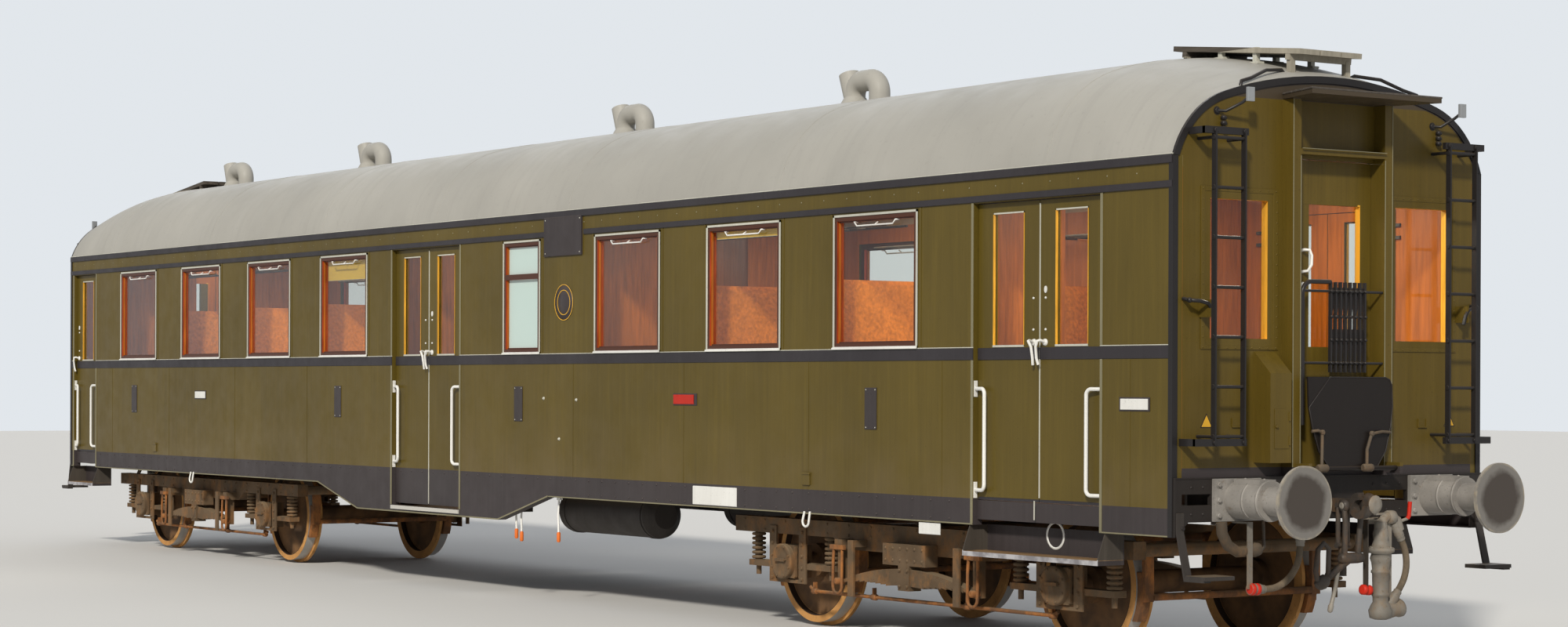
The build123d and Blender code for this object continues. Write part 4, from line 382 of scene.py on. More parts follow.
def buffer_iron():
    """Weathered grey castings; the buffer faces have a dark greasy middle and a bright worn edge."""
    n = Nodes("buffer_iron")
    grey = (0.29, 0.27, 0.245)
    base = n.mix(n.cloud(4.0, 0.35, 0.65), shade(grey, 0.72), shade(grey, 1.12))
    base = n.mix(n.span(n.noise(11.0, (1, 1, 1), 8, 0.7, 2.0), 0.6, 0.7, 0.0, 0.55), base, (0.15, 0.1, 0.055))
    base = n.mix(n.span(n.noise(55.0, detail=3), 0.6, 0.72, 0.0, 0.5), base, shade(grey, 0.4))
    across = n.math("SUBTRACT", n.size("Y"), BUFFER_Y)
    along = n.math("SUBTRACT", n.axis("Z"), up(H_BUFFER))
    radius = n.distance(across, along)
    ragged = n.math("ADD", radius, n.cloud(7.0, 0.3, 0.7, -0.018, 0.018))
    face = n.span(n.size("X"), 9.9965, 9.9985)
    base = n.mix(face, base, shade(grey, 0.62))
    greasy = n.times(face, n.span(ragged, 0.19, 0.15))
    base = n.mix(greasy, base, (0.062, 0.051, 0.043))
    worn = n.times(n.span(radius, 0.214, 0.224), n.cloud(14.0, 0.4, 0.6, 0.05, 0.5))
    base = n.mix(n.times(worn, n.span(n.size("X"), 9.97, 9.972)), base, (0.42, 0.36, 0.26))
    n.bump(n.noise(26.0, detail=6), 0.35, 0.002)
    return n.surface(base, n.mix(greasy, (0.62, 0.62, 0.62), (0.38, 0.38, 0.38)), 0.15)


def wheel_iron():
    """Rusty discs with brighter tyres, told apart by the distance from the axle."""
    n = Nodes("wheel_iron")
    along = n.math("SUBTRACT", n.math("ABSOLUTE", n.math("SUBTRACT", n.size("X"), PIVOT_X)), HALF_BASE)
    height = n.math("SUBTRACT", n.axis("Z"), up(WHEEL_R))
    radius = n.distance(along, height)
    web = n.mix(n.cloud(5.0, 0.35, 0.65), (0.085, 0.05, 0.028), (0.2, 0.105, 0.045))
    tyre = n.mix(n.cloud(7.0, 0.35, 0.65), (0.42, 0.21, 0.07), (0.6, 0.31, 0.1))
    base = n.mix(n.span(radius, 0.412, 0.42), web, tyre)
    base = n.mix(n.within(radius, 0.418, 0.425), base, (0.05, 0.03, 0.02))
    base = n.mix(n.span(n.noise(40.0, detail=3), 0.6, 0.74, 0.0, 0.5), base, (0.09, 0.05, 0.025))
    tread = n.times(n.within(radius, 0.47, 0.4765), n.within(n.size("Y"), 0.715, 0.812))
    base = n.mix(tread, base, (0.4, 0.38, 0.35))
    n.bump(n.noise(30.0, detail=6), 0.3, 0.002)
    return n.surface(base, n.mix(tread, (0.8, 0.8, 0.8), (0.3, 0.3, 0.3)), 0.1)


def underframe_paint():
    """Slate sole bars, and headstocks that are nearly black."""
    n = Nodes("underframe_paint")
    slate = weathered(n, SLATE, 0.22, 0.12, DUST, 0.2)
    dark = weathered(n, HEADSTOCK, 0.2, 0.12, DUST, 0.1)
    base = n.mix(n.span(n.size("X"), HALF_L - 0.004, HALF_L), slate, dark)
    n.bump(n.noise(40.0), 0.12, 0.001)
    return n.surface(base, n.cloud(6.0, 0.3, 0.7, 0.42, 0.58))


def walkway_paint():
    """Weathered planks on pale posts."""
    n = Nodes("walkway_paint")
    grain = n.noise(30.0, (0.08, 1, 1), 6, 0.65)
    plank = n.mix(n.span(grain, 0.35, 0.68), (0.045, 0.037, 0.03), (0.105, 0.088, 0.07))
    post = weathered(n, (0.33, 0.3, 0.24), 0.3)
    base = n.mix(n.span(n.axis("Z"), up(H_WALK) - 0.002, up(H_WALK)), post, plank)
    n.bump(grain, 0.2, 0.0008)
    return n.surface(base, 0.7)


def step_paint():
    """Steps: worn boards with a bright nose, slate backs, grey-brown cheeks and pale middle sills."""
    n = Nodes("step_paint")
    z, y = n.axis("Z"), n.size("Y")
    colour = weathered(n, SLATE, 0.25, 0.15, DUST, 0.3)
    cheek = n.times(n.math("GREATER_THAN", y, STEP_BACK_Y), n.math("GREATER_THAN", z, up(0.692)))
    colour = n.mix(cheek, colour, weathered(n, (0.062, 0.052, 0.042), 0.3))
    grain = n.noise(30.0, (0.06, 1, 1), 6, 0.65)
    board = n.mix(n.span(grain, 0.35, 0.68), (0.13, 0.075, 0.035), (0.34, 0.21, 0.1))
    top = n.within(z, up(0.689), up(0.6915))
    colour = n.mix(n.times(top, n.math("GREATER_THAN", y, STEP_BACK_Y)), colour, board)
    nose = n.span(y, 1.4375, 1.4385)
    colour = n.mix(nose, colour, n.mix(n.cloud(9.0, 0.4, 0.6), (0.2, 0.19, 0.2), (0.42, 0.41, 0.42)))
    sill = n.within(y, 1.3862, 1.3995)
    sill = n.times(sill, n.within(n.axis("X"), DOORS["mid"][0] - 0.001, DOORS["mid"][1] + 0.001))
    colour = n.mix(sill, colour, (0.5, 0.48, 0.44))
    n.bump(n.noise(35.0), 0.2, 0.001)
    return n.surface(colour, n.cloud(6.0, 0.3, 0.7, 0.5, 0.7))


def cloth(name, colour):
    n = Nodes(name)
    weave = n.times(n.waves(260.0, 0.3, "X"), n.waves(260.0, 0.3, "Z"))
    base = n.mix(n.cloud(2.5, 0.3, 0.7), shade(colour, 0.8), colour)
    base = n.mix(n.times(weave, 0.25), base, shade(colour, 0.6))
    n.bump(weave, 0.2, 0.0005)
    return n.surface(base, 0.85)


MAT = {
    "body": body_paint("body_paint", GREEN, True),
    "end": body_paint("end_paint", END_GREEN_WITH_SHADE, False),
    "door": leaf_paint(),
    "end_door": end_door_paint(),
    "roof": roof_paint(),
    "underframe": underframe_paint(),
    "bridge": simple_paint("bridge_paint", (0.0105, 0.0075, 0.006), 0.42, 0.1, DUST, 0.1),
    "headstock": simple_paint("headstock_paint", HEADSTOCK, 0.46, 0.15),
    "slate": simple_paint("slate_paint", SLATE, 0.46, 0.22, DUST, 0.2),
    "band": simple_paint("band_paint", (0.032, 0.028, 0.031), 0.45, 0.15),
    "chassis": simple_paint("chassis_paint", (0.038, 0.032, 0.028), 0.6, 0.25, DUST, 0.5),
    "black": simple_paint("black_paint", BLACK, 0.36, 0.1, DUST, 0.15),
    "white": simple_paint("white_paint", (0.74, 0.73, 0.69), 0.42, 0.1),
    # Pale trim paint; the strip on the waist band's top uses it as a painted highlight.
    "trim": simple_paint("pale_trim_and_highlight", (0.5, 0.49, 0.42), 0.45, 0.18),
    # Pale edge colour: painted highlights on the portal's edges and the door jambs' corners; the same tone
    # marks the screw heads and the line at the sole bar's foot.
    "edge": simple_paint("worn_edge_and_painted_highlight", (0.2, 0.18, 0.11), 0.5, 0.2),
    "red": simple_paint("red_paint", (0.46, 0.02, 0.008), 0.45, 0.15),
    "orange": simple_paint("orange_paint", (0.66, 0.15, 0.025), 0.5, 0.15),
    "yellow": simple_paint("yellow_paint", (0.66, 0.36, 0.03), 0.45, 0.1),
    "grey": simple_paint("grey_paint", (0.24, 0.25, 0.26), 0.5, 0.15),
    "honey": wood("honey_wood", HONEY, "Z", 0.3),
    "frame": frame_wood(),
    "bench": wood("bench_wood", (0.62, 0.19, 0.014), "X", 0.3),
    "panel": wood("panel_wood", PANEL, "Z", 0.36),
    "walk": wood("walk_wood", (0.085, 0.072, 0.06), "X", 0.7),
    "walkway": walkway_paint(),
    "floor": simple_paint("floor_cover", (0.13, 0.09, 0.06), 0.6, 0.0),
    "ceiling": simple_paint("ceiling_paint", CEILING, 0.6, 0.0),
    "glass": glass(),
    "steps": step_paint(),
    "buffer": buffer_iron(),
    "pipe": rusty("pipe_iron", (0.22, 0.2, 0.17), (0.2, 0.13, 0.07), 0.4, 0.65, DUST, 0.35),
    "stored": rusty("old_pipe_iron", (0.095, 0.072, 0.05), (0.17, 0.1, 0.05), 0.45, 0.7, DUST, 0.3),
    "grease": rusty("greasy_iron", (0.06, 0.05, 0.042), (0.13, 0.075, 0.04), 0.4, 0.45),
    "iron": rusty("worn_iron", (0.06, 0.05, 0.04), (0.16, 0.085, 0.04), 0.45, 0.6, DUST, 0.4),
    "bogie": rusty("bogie_iron", (0.135, 0.09, 0.052), (0.26, 0.125, 0.045), 0.5, 0.8, DUST, 0.85),
    "rust": rusty("rusty_iron", (0.16, 0.08, 0.04), (0.4, 0.155, 0.042), 0.65, 0.85, DUST, 0.45),
    "wheel": wheel_iron(),
    "rubber": rusty("hose_rubber", (0.115, 0.09, 0.062), (0.2, 0.15, 0.1), 0.45, 0.8, DUST, 0.35),
    "blind": cloth("blind_cloth", (0.8, 0.5, 0.055)),
}

# Which node of the frame wears which material; the others go by the start of their name
NODES_WITH = {
    "body": "side_wall_left side_wall_right", "roof": "roof roof_vents", "frame": "window_frames",
    "end": "end_wall_near end_wall_far gangway_portals end_fittings", "glass": "window_glass",
    "underframe": "underframe",
    "floor": "floor", "chassis": "step_wells corner_steps air_tanks", "walkway": "roof_walkways",
    "white": "grab_handles", "steps": "entrance_steps", "black": "ladders lattice_gates",
    "buffer": "buffer_housings buffer_heads", "grease": "draw_gear", "bench": "benches",
    "panel": "partitions", "iron": "brake_rigging door_hinges", "pipe": "end_pipes", "blind": "blinds",
}
STARTS_WITH = {
    "door_": "door", "end_door": "end_door", "bridge_plate": "bridge", "bogie_frame": "bogie",
    "axle_boxes": "bogie", "springs": "bogie", "brake_gear": "rust", "wheelset": "wheel",
    "brake_hose": "rubber",
}


def node_material(name):
    for key, names in NODES_WITH.items():
        if name in names.split():
            return MAT[key]
    for start, key in STARTS_WITH.items():
        if name.startswith(start):
            return MAT[key]
    return MAT["iron"]


for node_name, node_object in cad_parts.items():
    for material_slot in node_object.material_slots:
        material_slot.material = node_material(node_name)


def turns(count):
    """The angles of a full circle's points."""
    return [2 * pi * i / count for i in range(count)]


def lower_half(count):
    """Angles of the lower half circle, from its left end to its right end."""
    return [pi + pi * i / count for i in range(count + 1)]


def mirrored(side, rows):
    """Rows of x, y and height, on the right side (1) or mirrored to the left side (-1)."""
    return [(x, side * y, z) for x, y, z in rows]


def middle_of(door):
    return sum(DOORS[door]) / 2


def shapes(count):
    return [Shape() for i in range(count)]


class Shape:
    """Gathers faces for one piece."""

    def __init__(self):
        self.points = []
        self.faces = []
        self.soft = []

    def add(self, points, faces, soft=False):
        start = len(self.points)
        self.points += [tuple(p) for p in points]
        self.faces += [tuple(start + i for i in face) for face in faces]
        self.soft += [soft] * len(faces)

    def box(self, x0, x1, y0, y1, z0, z1, side=1):
        """A block. With side -1 it is mirrored to the left side."""
        x0, x1 = sorted((x0, x1))
        y0, y1 = sorted((side * y0, side * y1))
        z0, z1 = sorted((z0, z1))
        points = [(x, y, z) for z in (z0, z1) for y in (y0, y1) for x in (x0, x1)]
        self.add(points, [(0, 2, 3, 1), (4, 5, 7, 6), (0, 1, 5, 4), (2, 6, 7, 3), (0, 4, 6, 2), (1, 3, 7, 5)])

    def prism(self, outline, plane, low, high):
        """An outline in the plane "xz", "yz" or "xy", drawn out from low to high along the third axis."""
        order = {"xz": (0, 2, 1), "yz": (2, 0, 1), "xy": (0, 1, 2)}[plane]
        count = len(outline)
        points = [[(*pair, along)[i] for i in order] for along in (low, high) for pair in outline]
        faces = [tuple(range(count))[::-1], tuple(range(count, 2 * count))]
        faces += [(i, (i + 1) % count, count + (i + 1) % count, count + i) for i in range(count)]
        self.add(points, faces)

    def rings(self, rings, closed_ends=True, soft=True, loop=False):
        """Skins a row of rings with the same number of points."""
        count = len(rings[0])
        points = [p for ring in rings for p in ring]
        faces = []
        last = len(rings) if loop else len(rings) - 1
        for i in range(last):
            a = i * count
            b = ((i + 1) % len(rings)) * count
            faces += [(a + j, a + (j + 1) % count, b + (j + 1) % count, b + j) for j in range(count)]
        self.add(points, faces, soft)
        if closed_ends and not loop:
            self.add(rings[0], [tuple(range(count))[::-1]])
            self.add(rings[-1], [tuple(range(count))])

    def lathe(self, profile, origin, axis, sides=24, closed_ends=True):
        """Turns pairs of (along, radius) about an axis."""
        axis = Vector(axis).normalized()
        side = axis.orthogonal().normalized()
        other = axis.cross(side)
        origin = Vector(origin)
        rings = []
        for along, radius in profile:
            centre = origin + axis * along
            rings.append([centre + (side * cos(t) + other * sin(t)) * radius for t in turns(sides)])
        self.rings(rings, closed_ends)

    def rod(self, start, end, radius, sides=12):
        length = (Vector(end) - Vector(start)).length
        self.lathe([(0, radius), (length, radius)], start, Vector(end) - Vector(start), sides)

    def tube(self, path, radius, sides=10, loop=False):
        """A round bar along points, with its rings kept from twisting."""
        path = [Vector(p) for p in path]
        count = len(path)
        rings = []
        side = None
        for i, p in enumerate(path):
            if loop:
                ahead = path[(i + 1) % count] - path[i - 1]
            else:
                ahead = path[min(i + 1, count - 1)] - path[max(i - 1, 0)]
            ahead.normalize()
            if side is None:
                side = ahead.orthogonal().normalized()
            side = (side - ahead * side.dot(ahead)).normalized()
            other = ahead.cross(side)
            rings.append([p + (side * cos(t) + other * sin(t)) * radius for t in turns(sides)])
        self.rings(rings, not loop, True, loop)

    def strip(self, side, x0, x1, z0, z1, proud, y=HALF_W):
        """A flat bar on a side, with chamfered long edges."""
        c = min(0.003, proud / 2)
        outline = [(0, z0), (proud - c, z0), (proud, z0 + c), (proud, z1 - c), (proud - c, z1), (0, z1)]
        self.prism([(side * (y + out), z) for out, z in outline], "yz", x0, x1)

    def bolt(self, at, axis, radius=0.014, height=0.01):
        """A hexagon head on a washer."""
        axis = Vector(axis).normalized()
        self.lathe([(0, radius * 1.35), (height * 0.25, radius * 1.35)], at, axis, 12)
        self.lathe([(height * 0.25, radius), (height * 0.9, radius), (height, radius * 0.8)], at, axis, 6)

    def collar(self, at, axis, sides, ends, middle, closed_ends=True):
        """A turned ring about a point; ends and middle are pairs of half length and radius."""
        (a, r0), (b, r1) = ends, middle
        self.lathe([(-a, r0), (-b, r1), (b, r1), (a, r0)], at, axis, sides, closed_ends)

    def rivet(self, at, axis, radius=0.011):
        self.lathe([(0, radius), (radius * 0.35, radius * 0.85), (radius * 0.6, radius * 0.35)], at, axis, 8)

    def bar(self, start, end, half_w, half_h):
        """A flat bar between two points: half_w across it sideways, half_h across it upright."""
        ahead = (Vector(end) - Vector(start)).normalized()
        side = ahead.cross(Vector((0, 0, 1)))
        side = side.normalized() if side.length > 0.01 else Vector((1, 0, 0))
        other = ahead.cross(side)
        ring = [side * half_w * a + other * half_h * b for a, b in ((-1, -1), (1, -1), (1, 1), (-1, 1))]
        self.rings([[Vector(p) + r for r in ring] for p in (start, end)], True, False)

    def turned(self):
        """The same shape at the far end, turned half round."""
        other = Shape()
        other.points = [(-x, -y, z) for x, y, z in self.points]
        other.faces, other.soft = self.faces, self.soft
        return other

    def build_ends(self, name, material, body="carbody", bevel=0.0):
        """The piece at the near end, and its copy at the far end, on that end's own body if it has one."""
        for end, shape in (("near", self), ("far", self.turned())):
            shape.build(name + "_" + end, material, body.replace("near", end), bevel)

    def build(self, name, material, body="carbody", bevel=0.0, lift=RAIL):
        """Makes the piece. Its heights are above the rail head, unless lift is 0."""
        mesh = bpy.data.meshes.new(name)
        mesh.from_pydata([(x, y, z + lift) for x, y, z in self.points], [], self.faces)
        mesh.polygons.foreach_set("use_smooth", self.soft)
        mesh.materials.append(MAT[material])
        mesh.validate()
        work = bmesh.new()
        work.from_mesh(mesh)
        bmesh.ops.recalc_face_normals(work, faces=work.faces)
        work.to_mesh(mesh)
        work.free()
        mesh.update()
        piece = bpy.data.objects.new(name, mesh)
        bpy.context.scene.collection.objects.link(piece)
        if bevel:
            modifier = piece.modifiers.new("edges", "BEVEL")
            modifier.width = bevel
            modifier.segments = 2
            modifier.limit_method = "ANGLE"
            modifier.angle_limit = radians(40)
        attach(piece, body)
        return piece


# Names of the sides and of the ends, by sign
SIDE_NAME = {-1: "left", 1: "right"}
END_NAME = {-1: "far", 1: "near"}


def between(low, high, holes):
    """The stretches of low..high outside the holes."""
    stretches = []
    start = low
    for a, b in sorted(holes):
        if a > start:
            stretches.append((start, a))
        start = max(start, b)
    if high > start:
        stretches.append((start, high))
    return stretches


def side_bands(side):
    """Waist band with a painted highlight along its top, gutter with its pale drip edge, strip over the
    windows and screws, on the wall.
    """
    band, edge, screws = shapes(3)
    for x0, x1 in between(-HALF_L, HALF_L, DOORS.values()):
        band.strip(side, x0, x1, *H_WAIST, 0.006)
        # A pale strip on the waist band's top: painted highlight where light catches the band's top edge.
        edge.strip(side, x0, x1, H_WAIST[1], H_WAIST[1] + 0.007, 0.005)
    for x0, x1 in between(-HALF_L, HALF_L, [(CLOSET_X + 0.39, CLOSET_X + 1.04)]):
        band.strip(side, x0, x1, *H_STRIP, 0.012)
    band.strip(side, -HALF_L, HALF_L, H_EAVES - 0.05, H_EAVES + 0.004, 0.014)
    edge.strip(side, -HALF_L, HALF_L, H_EAVES + 0.004, H_EAVES + 0.012, 0.01)
    x = -HALF_L + 0.12
    while x < HALF_L - 0.1:
        screws.rivet((x, side * HALF_W, 3.165), (0, side, 0), 0.006)
        x += 0.285
    name = SIDE_NAME[side]
    band.build("side_bands_" + name, "band")
    edge.build("side_band_highlights_and_drip_edges_" + name, "trim")
    screws.build("side_screws_" + name, "edge")


def side_seams(side):
    """Flat cover strips over the joints of the side sheets, and pale jamb strips that paint a highlight on
    the door openings' corners.
    """
    strips, jambs = shapes(2)
    waist_low, waist_high, top = H_WAIST[0], H_WAIST[1] + 0.007, H_STRIP[0]
    joints = [x + s * (WINDOW_W / 2 + 0.028) for x in WINDOWS for s in (-1, 1)]
    joints += [CLOSET_X + s * (CLOSET_W / 2 + 0.028) for s in (-1, 1)]
    for x in joints:
        strips.strip(side, x - 0.01, x + 0.01, waist_high, top, 0.0035)
    for x in (-8.1, -6.5, -4.8, -3.1, 2.0, 3.7, 5.4, 7.0, 8.95):
        strips.strip(side, x - 0.006, x + 0.006, H_BLACK, waist_low, 0.0018)
    # The jamb strips take the pale edge colour: a painted highlight where light catches the corners of the
    # door openings.
    for door, (x0, x1) in DOORS.items():
        bottom = 0.705 if door == "mid" else 0.87
        for x, way in ((x0, -1), (x1, 1)):
            for z0, z1 in ((bottom, waist_low), (waist_high, top)):
                jambs.strip(side, x + way * 0.022, x, z0, z1, 0.005)
    strips.build("side_seams_" + SIDE_NAME[side], "body")
    jambs.build("door_jamb_highlight_strips_" + SIDE_NAME[side], "edge")


def window_trim(side):
    """Outer edging, sill, inner beads and ventilator bars of the side windows."""
    ring, beads, sills, bars, yellow = shapes(5)
    z0, z1 = H_SILL, H_HEAD
    in_y, out_y, inset = HALF_W - 0.026, HALF_W + 0.006, 0.045
    back, nose = HALF_W - 0.01, HALF_W + 0.02
    sill = [(back, z0), (nose, z0), (nose, z0 + 0.012), (back, z0 + 0.026)]
    h = z1 - 0.075
    vent = [(0.25, in_y, h + 0.018), (0.245, out_y, h + 0.016), (0.215, out_y, h - 0.012)]
    vent = [(-x, y, z) for x, y, z in vent] + vent[::-1]
    for x, width in [(x, WINDOW_W) for x in WINDOWS] + [(CLOSET_X, CLOSET_W)]:
        a, b = x - width / 2, x + width / 2
        for x0, x1, low in ((a, a + 0.016, z0), (b - 0.016, b, z0), (a, b, z1 - 0.016)):
            ring.box(x0, x1, HALF_W, HALF_W + 0.01, low, z1, side)
        sills.prism([(side * y, z) for y, z in sill], "yz", a, b)
        a, b, low, high = a + inset, b - inset, z0 + inset, z1 - inset
        for x0, x1 in ((a, a + 0.009), (b - 0.009, b)):
            yellow.box(x0, x1, in_y, in_y + 0.016, low, high, side)
        for p, q in ((low, low + 0.011), (high - 0.011, high)):
            beads.box(a, b, in_y, in_y + 0.014, p, q, side)
        if width == WINDOW_W:
            bars.tube([(x + along, side * y, z) for along, y, z in vent], 0.006, 8)
            bars.rod((x, side * in_y, h + 0.012), (x, side * out_y, h - 0.01), 0.005, 8)
    name = SIDE_NAME[side]
    ring.build("window_edging_" + name, "trim")
    sills.build("window_sills_" + name, "white")
    beads.build("window_beads_" + name, "frame")
    yellow.build("window_side_beads_" + name, "panel")
    bars.build("window_ventilators_" + name, "white")


# Points of a leaf's handle: towards the hinge, out from the leaf, up
LEAF_HANDLE = [(0, 0, 0), (0, 0.045, 0.012), (-0.01, 0.06, 0.01), (-0.034, 0.055, -0.03),
               (-0.038, 0.045, -0.105), (-0.03, 0.035, -0.15)]


def leaf_details(side):
    """What is fixed to each door leaf: waist band, seals, window beads, handle, lock and edge bead."""
    y, out = LEAF_OUT_Y, (0, side, 0)
    width, low, high = LEAF_WINDOW
    for door, part, x0, x1 in [(door, *span) for door in DOORS for span in leaf_spans(door)]:
        leaf = "door_" + door + part + "_" + SIDE_NAME[side]
        bottom = LEAF_BOTTOM[door]
        band, bead, sill, grip, lock, seam = shapes(6)
        band.strip(side, x0, x1, *H_WAIST, 0.006, y)
        band.box(x0, x1, y - 0.014, y - 0.002, 3.04, 3.0538, side)
        if door != "mid":
            band.box(x0, x1, y - 0.014, y - 0.002, bottom - 0.02, bottom + 0.004, side)
        band.build(leaf + "_band", "band", leaf)
        a, b = (x0 + x1 - width) / 2, (x0 + x1 + width) / 2
        for p0, p1 in ((a, a + 0.006), (b - 0.006, b)):
            bead.box(p0, p1, y - 0.014, y + 0.003, low, high, side)
        bead.build(leaf + "_side_beads", "honey", leaf)
        sill.box(a, b, y - 0.014, y + 0.006, low - 0.004, low + 0.01, side)
        sill.box(a, b, y - 0.014, y + 0.003, high - 0.01, high, side)
        sill.build(leaf + "_sill_beads", "trim", leaf)
        free, way = (x1, -1) if part == "_a" else (x0, 1)
        x, z = free + way * 0.055, 2.105
        grip.tube([(x + way * a, side * (y + b), z + c) for a, b, c in LEAF_HANDLE], 0.01, 10)
        grip.lathe([(0, 0.024), (0.008, 0.022), (0.012, 0.014)], (x, side * y, z), out, 16)
        grip.build(leaf + "_handle", "white", leaf)
        x = free + way * 0.06
        for z in (2.4, 2.19):
            lock.lathe([(0, 0.008), (0.006, 0.008), (0.008, 0.004)], (x, side * y, z), out, 10)
        if part != "_a":
            plate = [(x + 0.0132 * cos(t), 2.455 + 0.024 * sin(t)) for t in turns(14)]
            lock.prism(plate, "xz", side * y, side * (y + 0.006))
        lock.build(leaf + "_lock", "white", leaf)
        if part == "_b":
            seam.box(x0 - 0.0015, x0 + 0.006, y, y + 0.006, bottom + 0.01, 3.03, side)
            seam.build(leaf + "_edge_bead", "trim", leaf)


def side_plates(side):
    """Blank plates and holders, the roundel with its rings, bracket flaps, and the plates' screws."""
    dark, pale, red, ring, flaps, bolts = shapes(6)
    holders = (-7.455, -2.41, 1.087, 6.18)
    out = (0, side, 0)
    dark.strip(side, 1.535, 2.15, 2.895, 3.225, 0.016)
    for x in holders:
        dark.strip(side, x - 0.07, x + 0.07, 1.5, 1.8, 0.006)
    for x in (-5.66, 9.0):
        dark.strip(side, x - 0.145, x + 0.145, 1.655, 1.745, 0.005)
        pale.strip(side, x - 0.13, x + 0.13, 1.665, 1.735, 0.004, HALF_W + 0.005)
    dark.strip(side, 3.56, 3.9, 1.655, 1.75, 0.005)
    red.strip(side, 3.57, 3.86, 1.665, 1.74, 0.005, HALF_W + 0.005)
    pale.strip(side, 3.85, 4.46, 0.885, 1.03, 0.006)
    pale.strip(side, 6.74, 6.98, 0.78, 0.862, 0.006, HALF_W - 0.012)
    x, z = 1.849, 2.504
    dark.lathe([(0, 0.155), (0.003, 0.155), (0.003, 0.001)], (x, side * HALF_W, z), out, 40)
    for r0, r1 in ((0.146, 0.152), (0.1, 0.106)):
        section = ((r0, 0.003), (r0, 0.005), (r1, 0.005), (r1, 0.003))
        ring.rings([[(x + r * cos(t), side * (HALF_W + h), z + r * sin(t)) for t in turns(40)]
                    for r, h in section], False)
    for x in (-6.87, 5.39):
        flaps.box(x - 0.045, x + 0.045, HALF_W, HALF_W + 0.014, 1.08, 1.16, side)
        flaps.box(x - 0.05, x + 0.05, HALF_W, HALF_W + 0.02, 1.157, 1.175, side)
    screws = [(x + dx, 0.006, z, 0.005) for x in holders for dx in (-0.055, 0.055) for z in (1.515, 1.785)]
    screws += [(x, 0.016, z, 0.006) for x in (1.56, 2.125) for z in (2.92, 3.2)]
    for x, proud, z, radius in screws:
        bolts.rivet((x, side * (HALF_W + proud), z), out, radius)
    for x, z in ((1.52, 1.7), (2.06, 1.69), (1.78, 1.36)):
        bolts.bolt((x, side * HALF_W, z), out, 0.01, 0.012)
    name = SIDE_NAME[side]
    dark.build("bare_plates_" + name, "slate")
    pale.build("white_plates_" + name, "white")
    red.build("red_plate_" + name, "red")
    ring.build("roundel_rings_" + name, "yellow")
    flaps.build("bracket_flaps_" + name, "body", bevel=0.003)
    bolts.build("plate_screws_" + name, "trim")


def sole_bar_details(side):
    """Rivet rows, towing hooks and the light line at the sole bar's foot."""
    rivets, line, hooks = shapes(3)
    x = -8.45
    while x < 7.3:
        if not -3.2 < x < 2.0:
            rivets.rivet((x, side * HALF_W, 0.9), (0, side, 0), 0.009)
        rivets.rivet((x, side * HALF_W, 1.02), (0, side, 0), 0.009)
        x += 0.21
    for x0, x1 in ((DOORS["far"][1], -2.85), (1.6, DOORS["near"][0]), (DOORS["near"][1], HALF_L),
                   (-HALF_L, DOORS["far"][0])):
        line.strip(side, x0, x1, H_SOLE, H_SOLE + 0.01, 0.004)
    middle = middle_of("mid")
    dip = [(middle - 2.22, H_SOLE), (middle - 1.36, 0.64), (middle + 1.36, 0.64), (middle + 2.22, H_SOLE)]
    for (x0, z0), (x1, z1) in zip(dip, dip[1:]):
        line.prism([(x0, z0), (x1, z1), (x1, z1 + 0.012), (x0, z0 + 0.012)], "xz", side * HALF_W,
                   side * (HALF_W + 0.004))
    for x in (-5.86, 5.4):
        bow = [(x + 0.04 * cos(t), HALF_W + 0.018, 0.815 + 0.04 * sin(t)) for t in lower_half(10)]
        ends = [(x + dx, HALF_W + 0.004, 0.885) for dx in (-0.034, 0.034)]
        hooks.tube(mirrored(side, [ends[0]] + bow + [ends[1]]), 0.009, 8)
    name = SIDE_NAME[side]
    rivets.build("sole_bar_rivets_" + name, "slate")
    line.build("sole_bar_edge_" + name, "edge")
    hooks.build("towing_hooks_" + name, "white")


# Camera, solved from the photograph with the frame's own points
CAMERA_AT = (23.13732, -13.89051, 1.82334)
CAMERA_YAW = -0.98261
CAMERA_PITCH = -0.00234
CAMERA_ROLL = 0.00381
CAMERA_F = 3755.45
IMAGE_W, IMAGE_H = 2000, 800
CENTRE = (933.48, 503.52)


def add_camera():
    camera = bpy.data.cameras.new("camera")
    holder = bpy.data.objects.new("camera", camera)
    bpy.context.scene.collection.objects.link(holder)
    level = cos(CAMERA_PITCH)
    forward = Vector((sin(CAMERA_YAW) * level, cos(CAMERA_YAW) * level, sin(CAMERA_PITCH)))
    right = Vector((cos(CAMERA_YAW), -sin(CAMERA_YAW), 0))
    above = right.cross(forward)
    right_rolled = right * cos(CAMERA_ROLL) + above * sin(CAMERA_ROLL)
    above_rolled = above * cos(CAMERA_ROLL) - right * sin(CAMERA_ROLL)
    turn = Matrix((right_rolled, above_rolled, -forward)).transposed()
    holder.matrix_world = Matrix.Translation(CAMERA_AT) @ turn.to_4x4()
    camera.sensor_width = 36
    camera.lens = 36 * CAMERA_F / IMAGE_W
    camera.shift_x = (IMAGE_W / 2 - CENTRE[0]) / IMAGE_W
    camera.shift_y = (CENTRE[1] - IMAGE_H / 2) / IMAGE_W
    camera.clip_end = 300
    bpy.context.scene.camera = holder


# Brake hoses. The points repeat the routes in the part's source: out from the headstock, y, height.
HOSE_D = 0.044
LOW_SIDE_HOSE = [(0.12, -0.424, 0.838), (0.124, -0.43, 0.748), (0.127, -0.463, 0.664), (0.124, -0.52, 0.595),
                 (0.12, -0.598, 0.549), (0.117, -0.685, 0.529), (0.114, -0.775, 0.533)]
HIGH_SIDE_HOSE = [(0.15, 0.438, 0.852), (0.154, 0.48, 0.778), (0.158, 0.501, 0.692), (0.156, 0.498, 0.604),
                  (0.15, 0.466, 0.52), (0.142, 0.41, 0.45)]


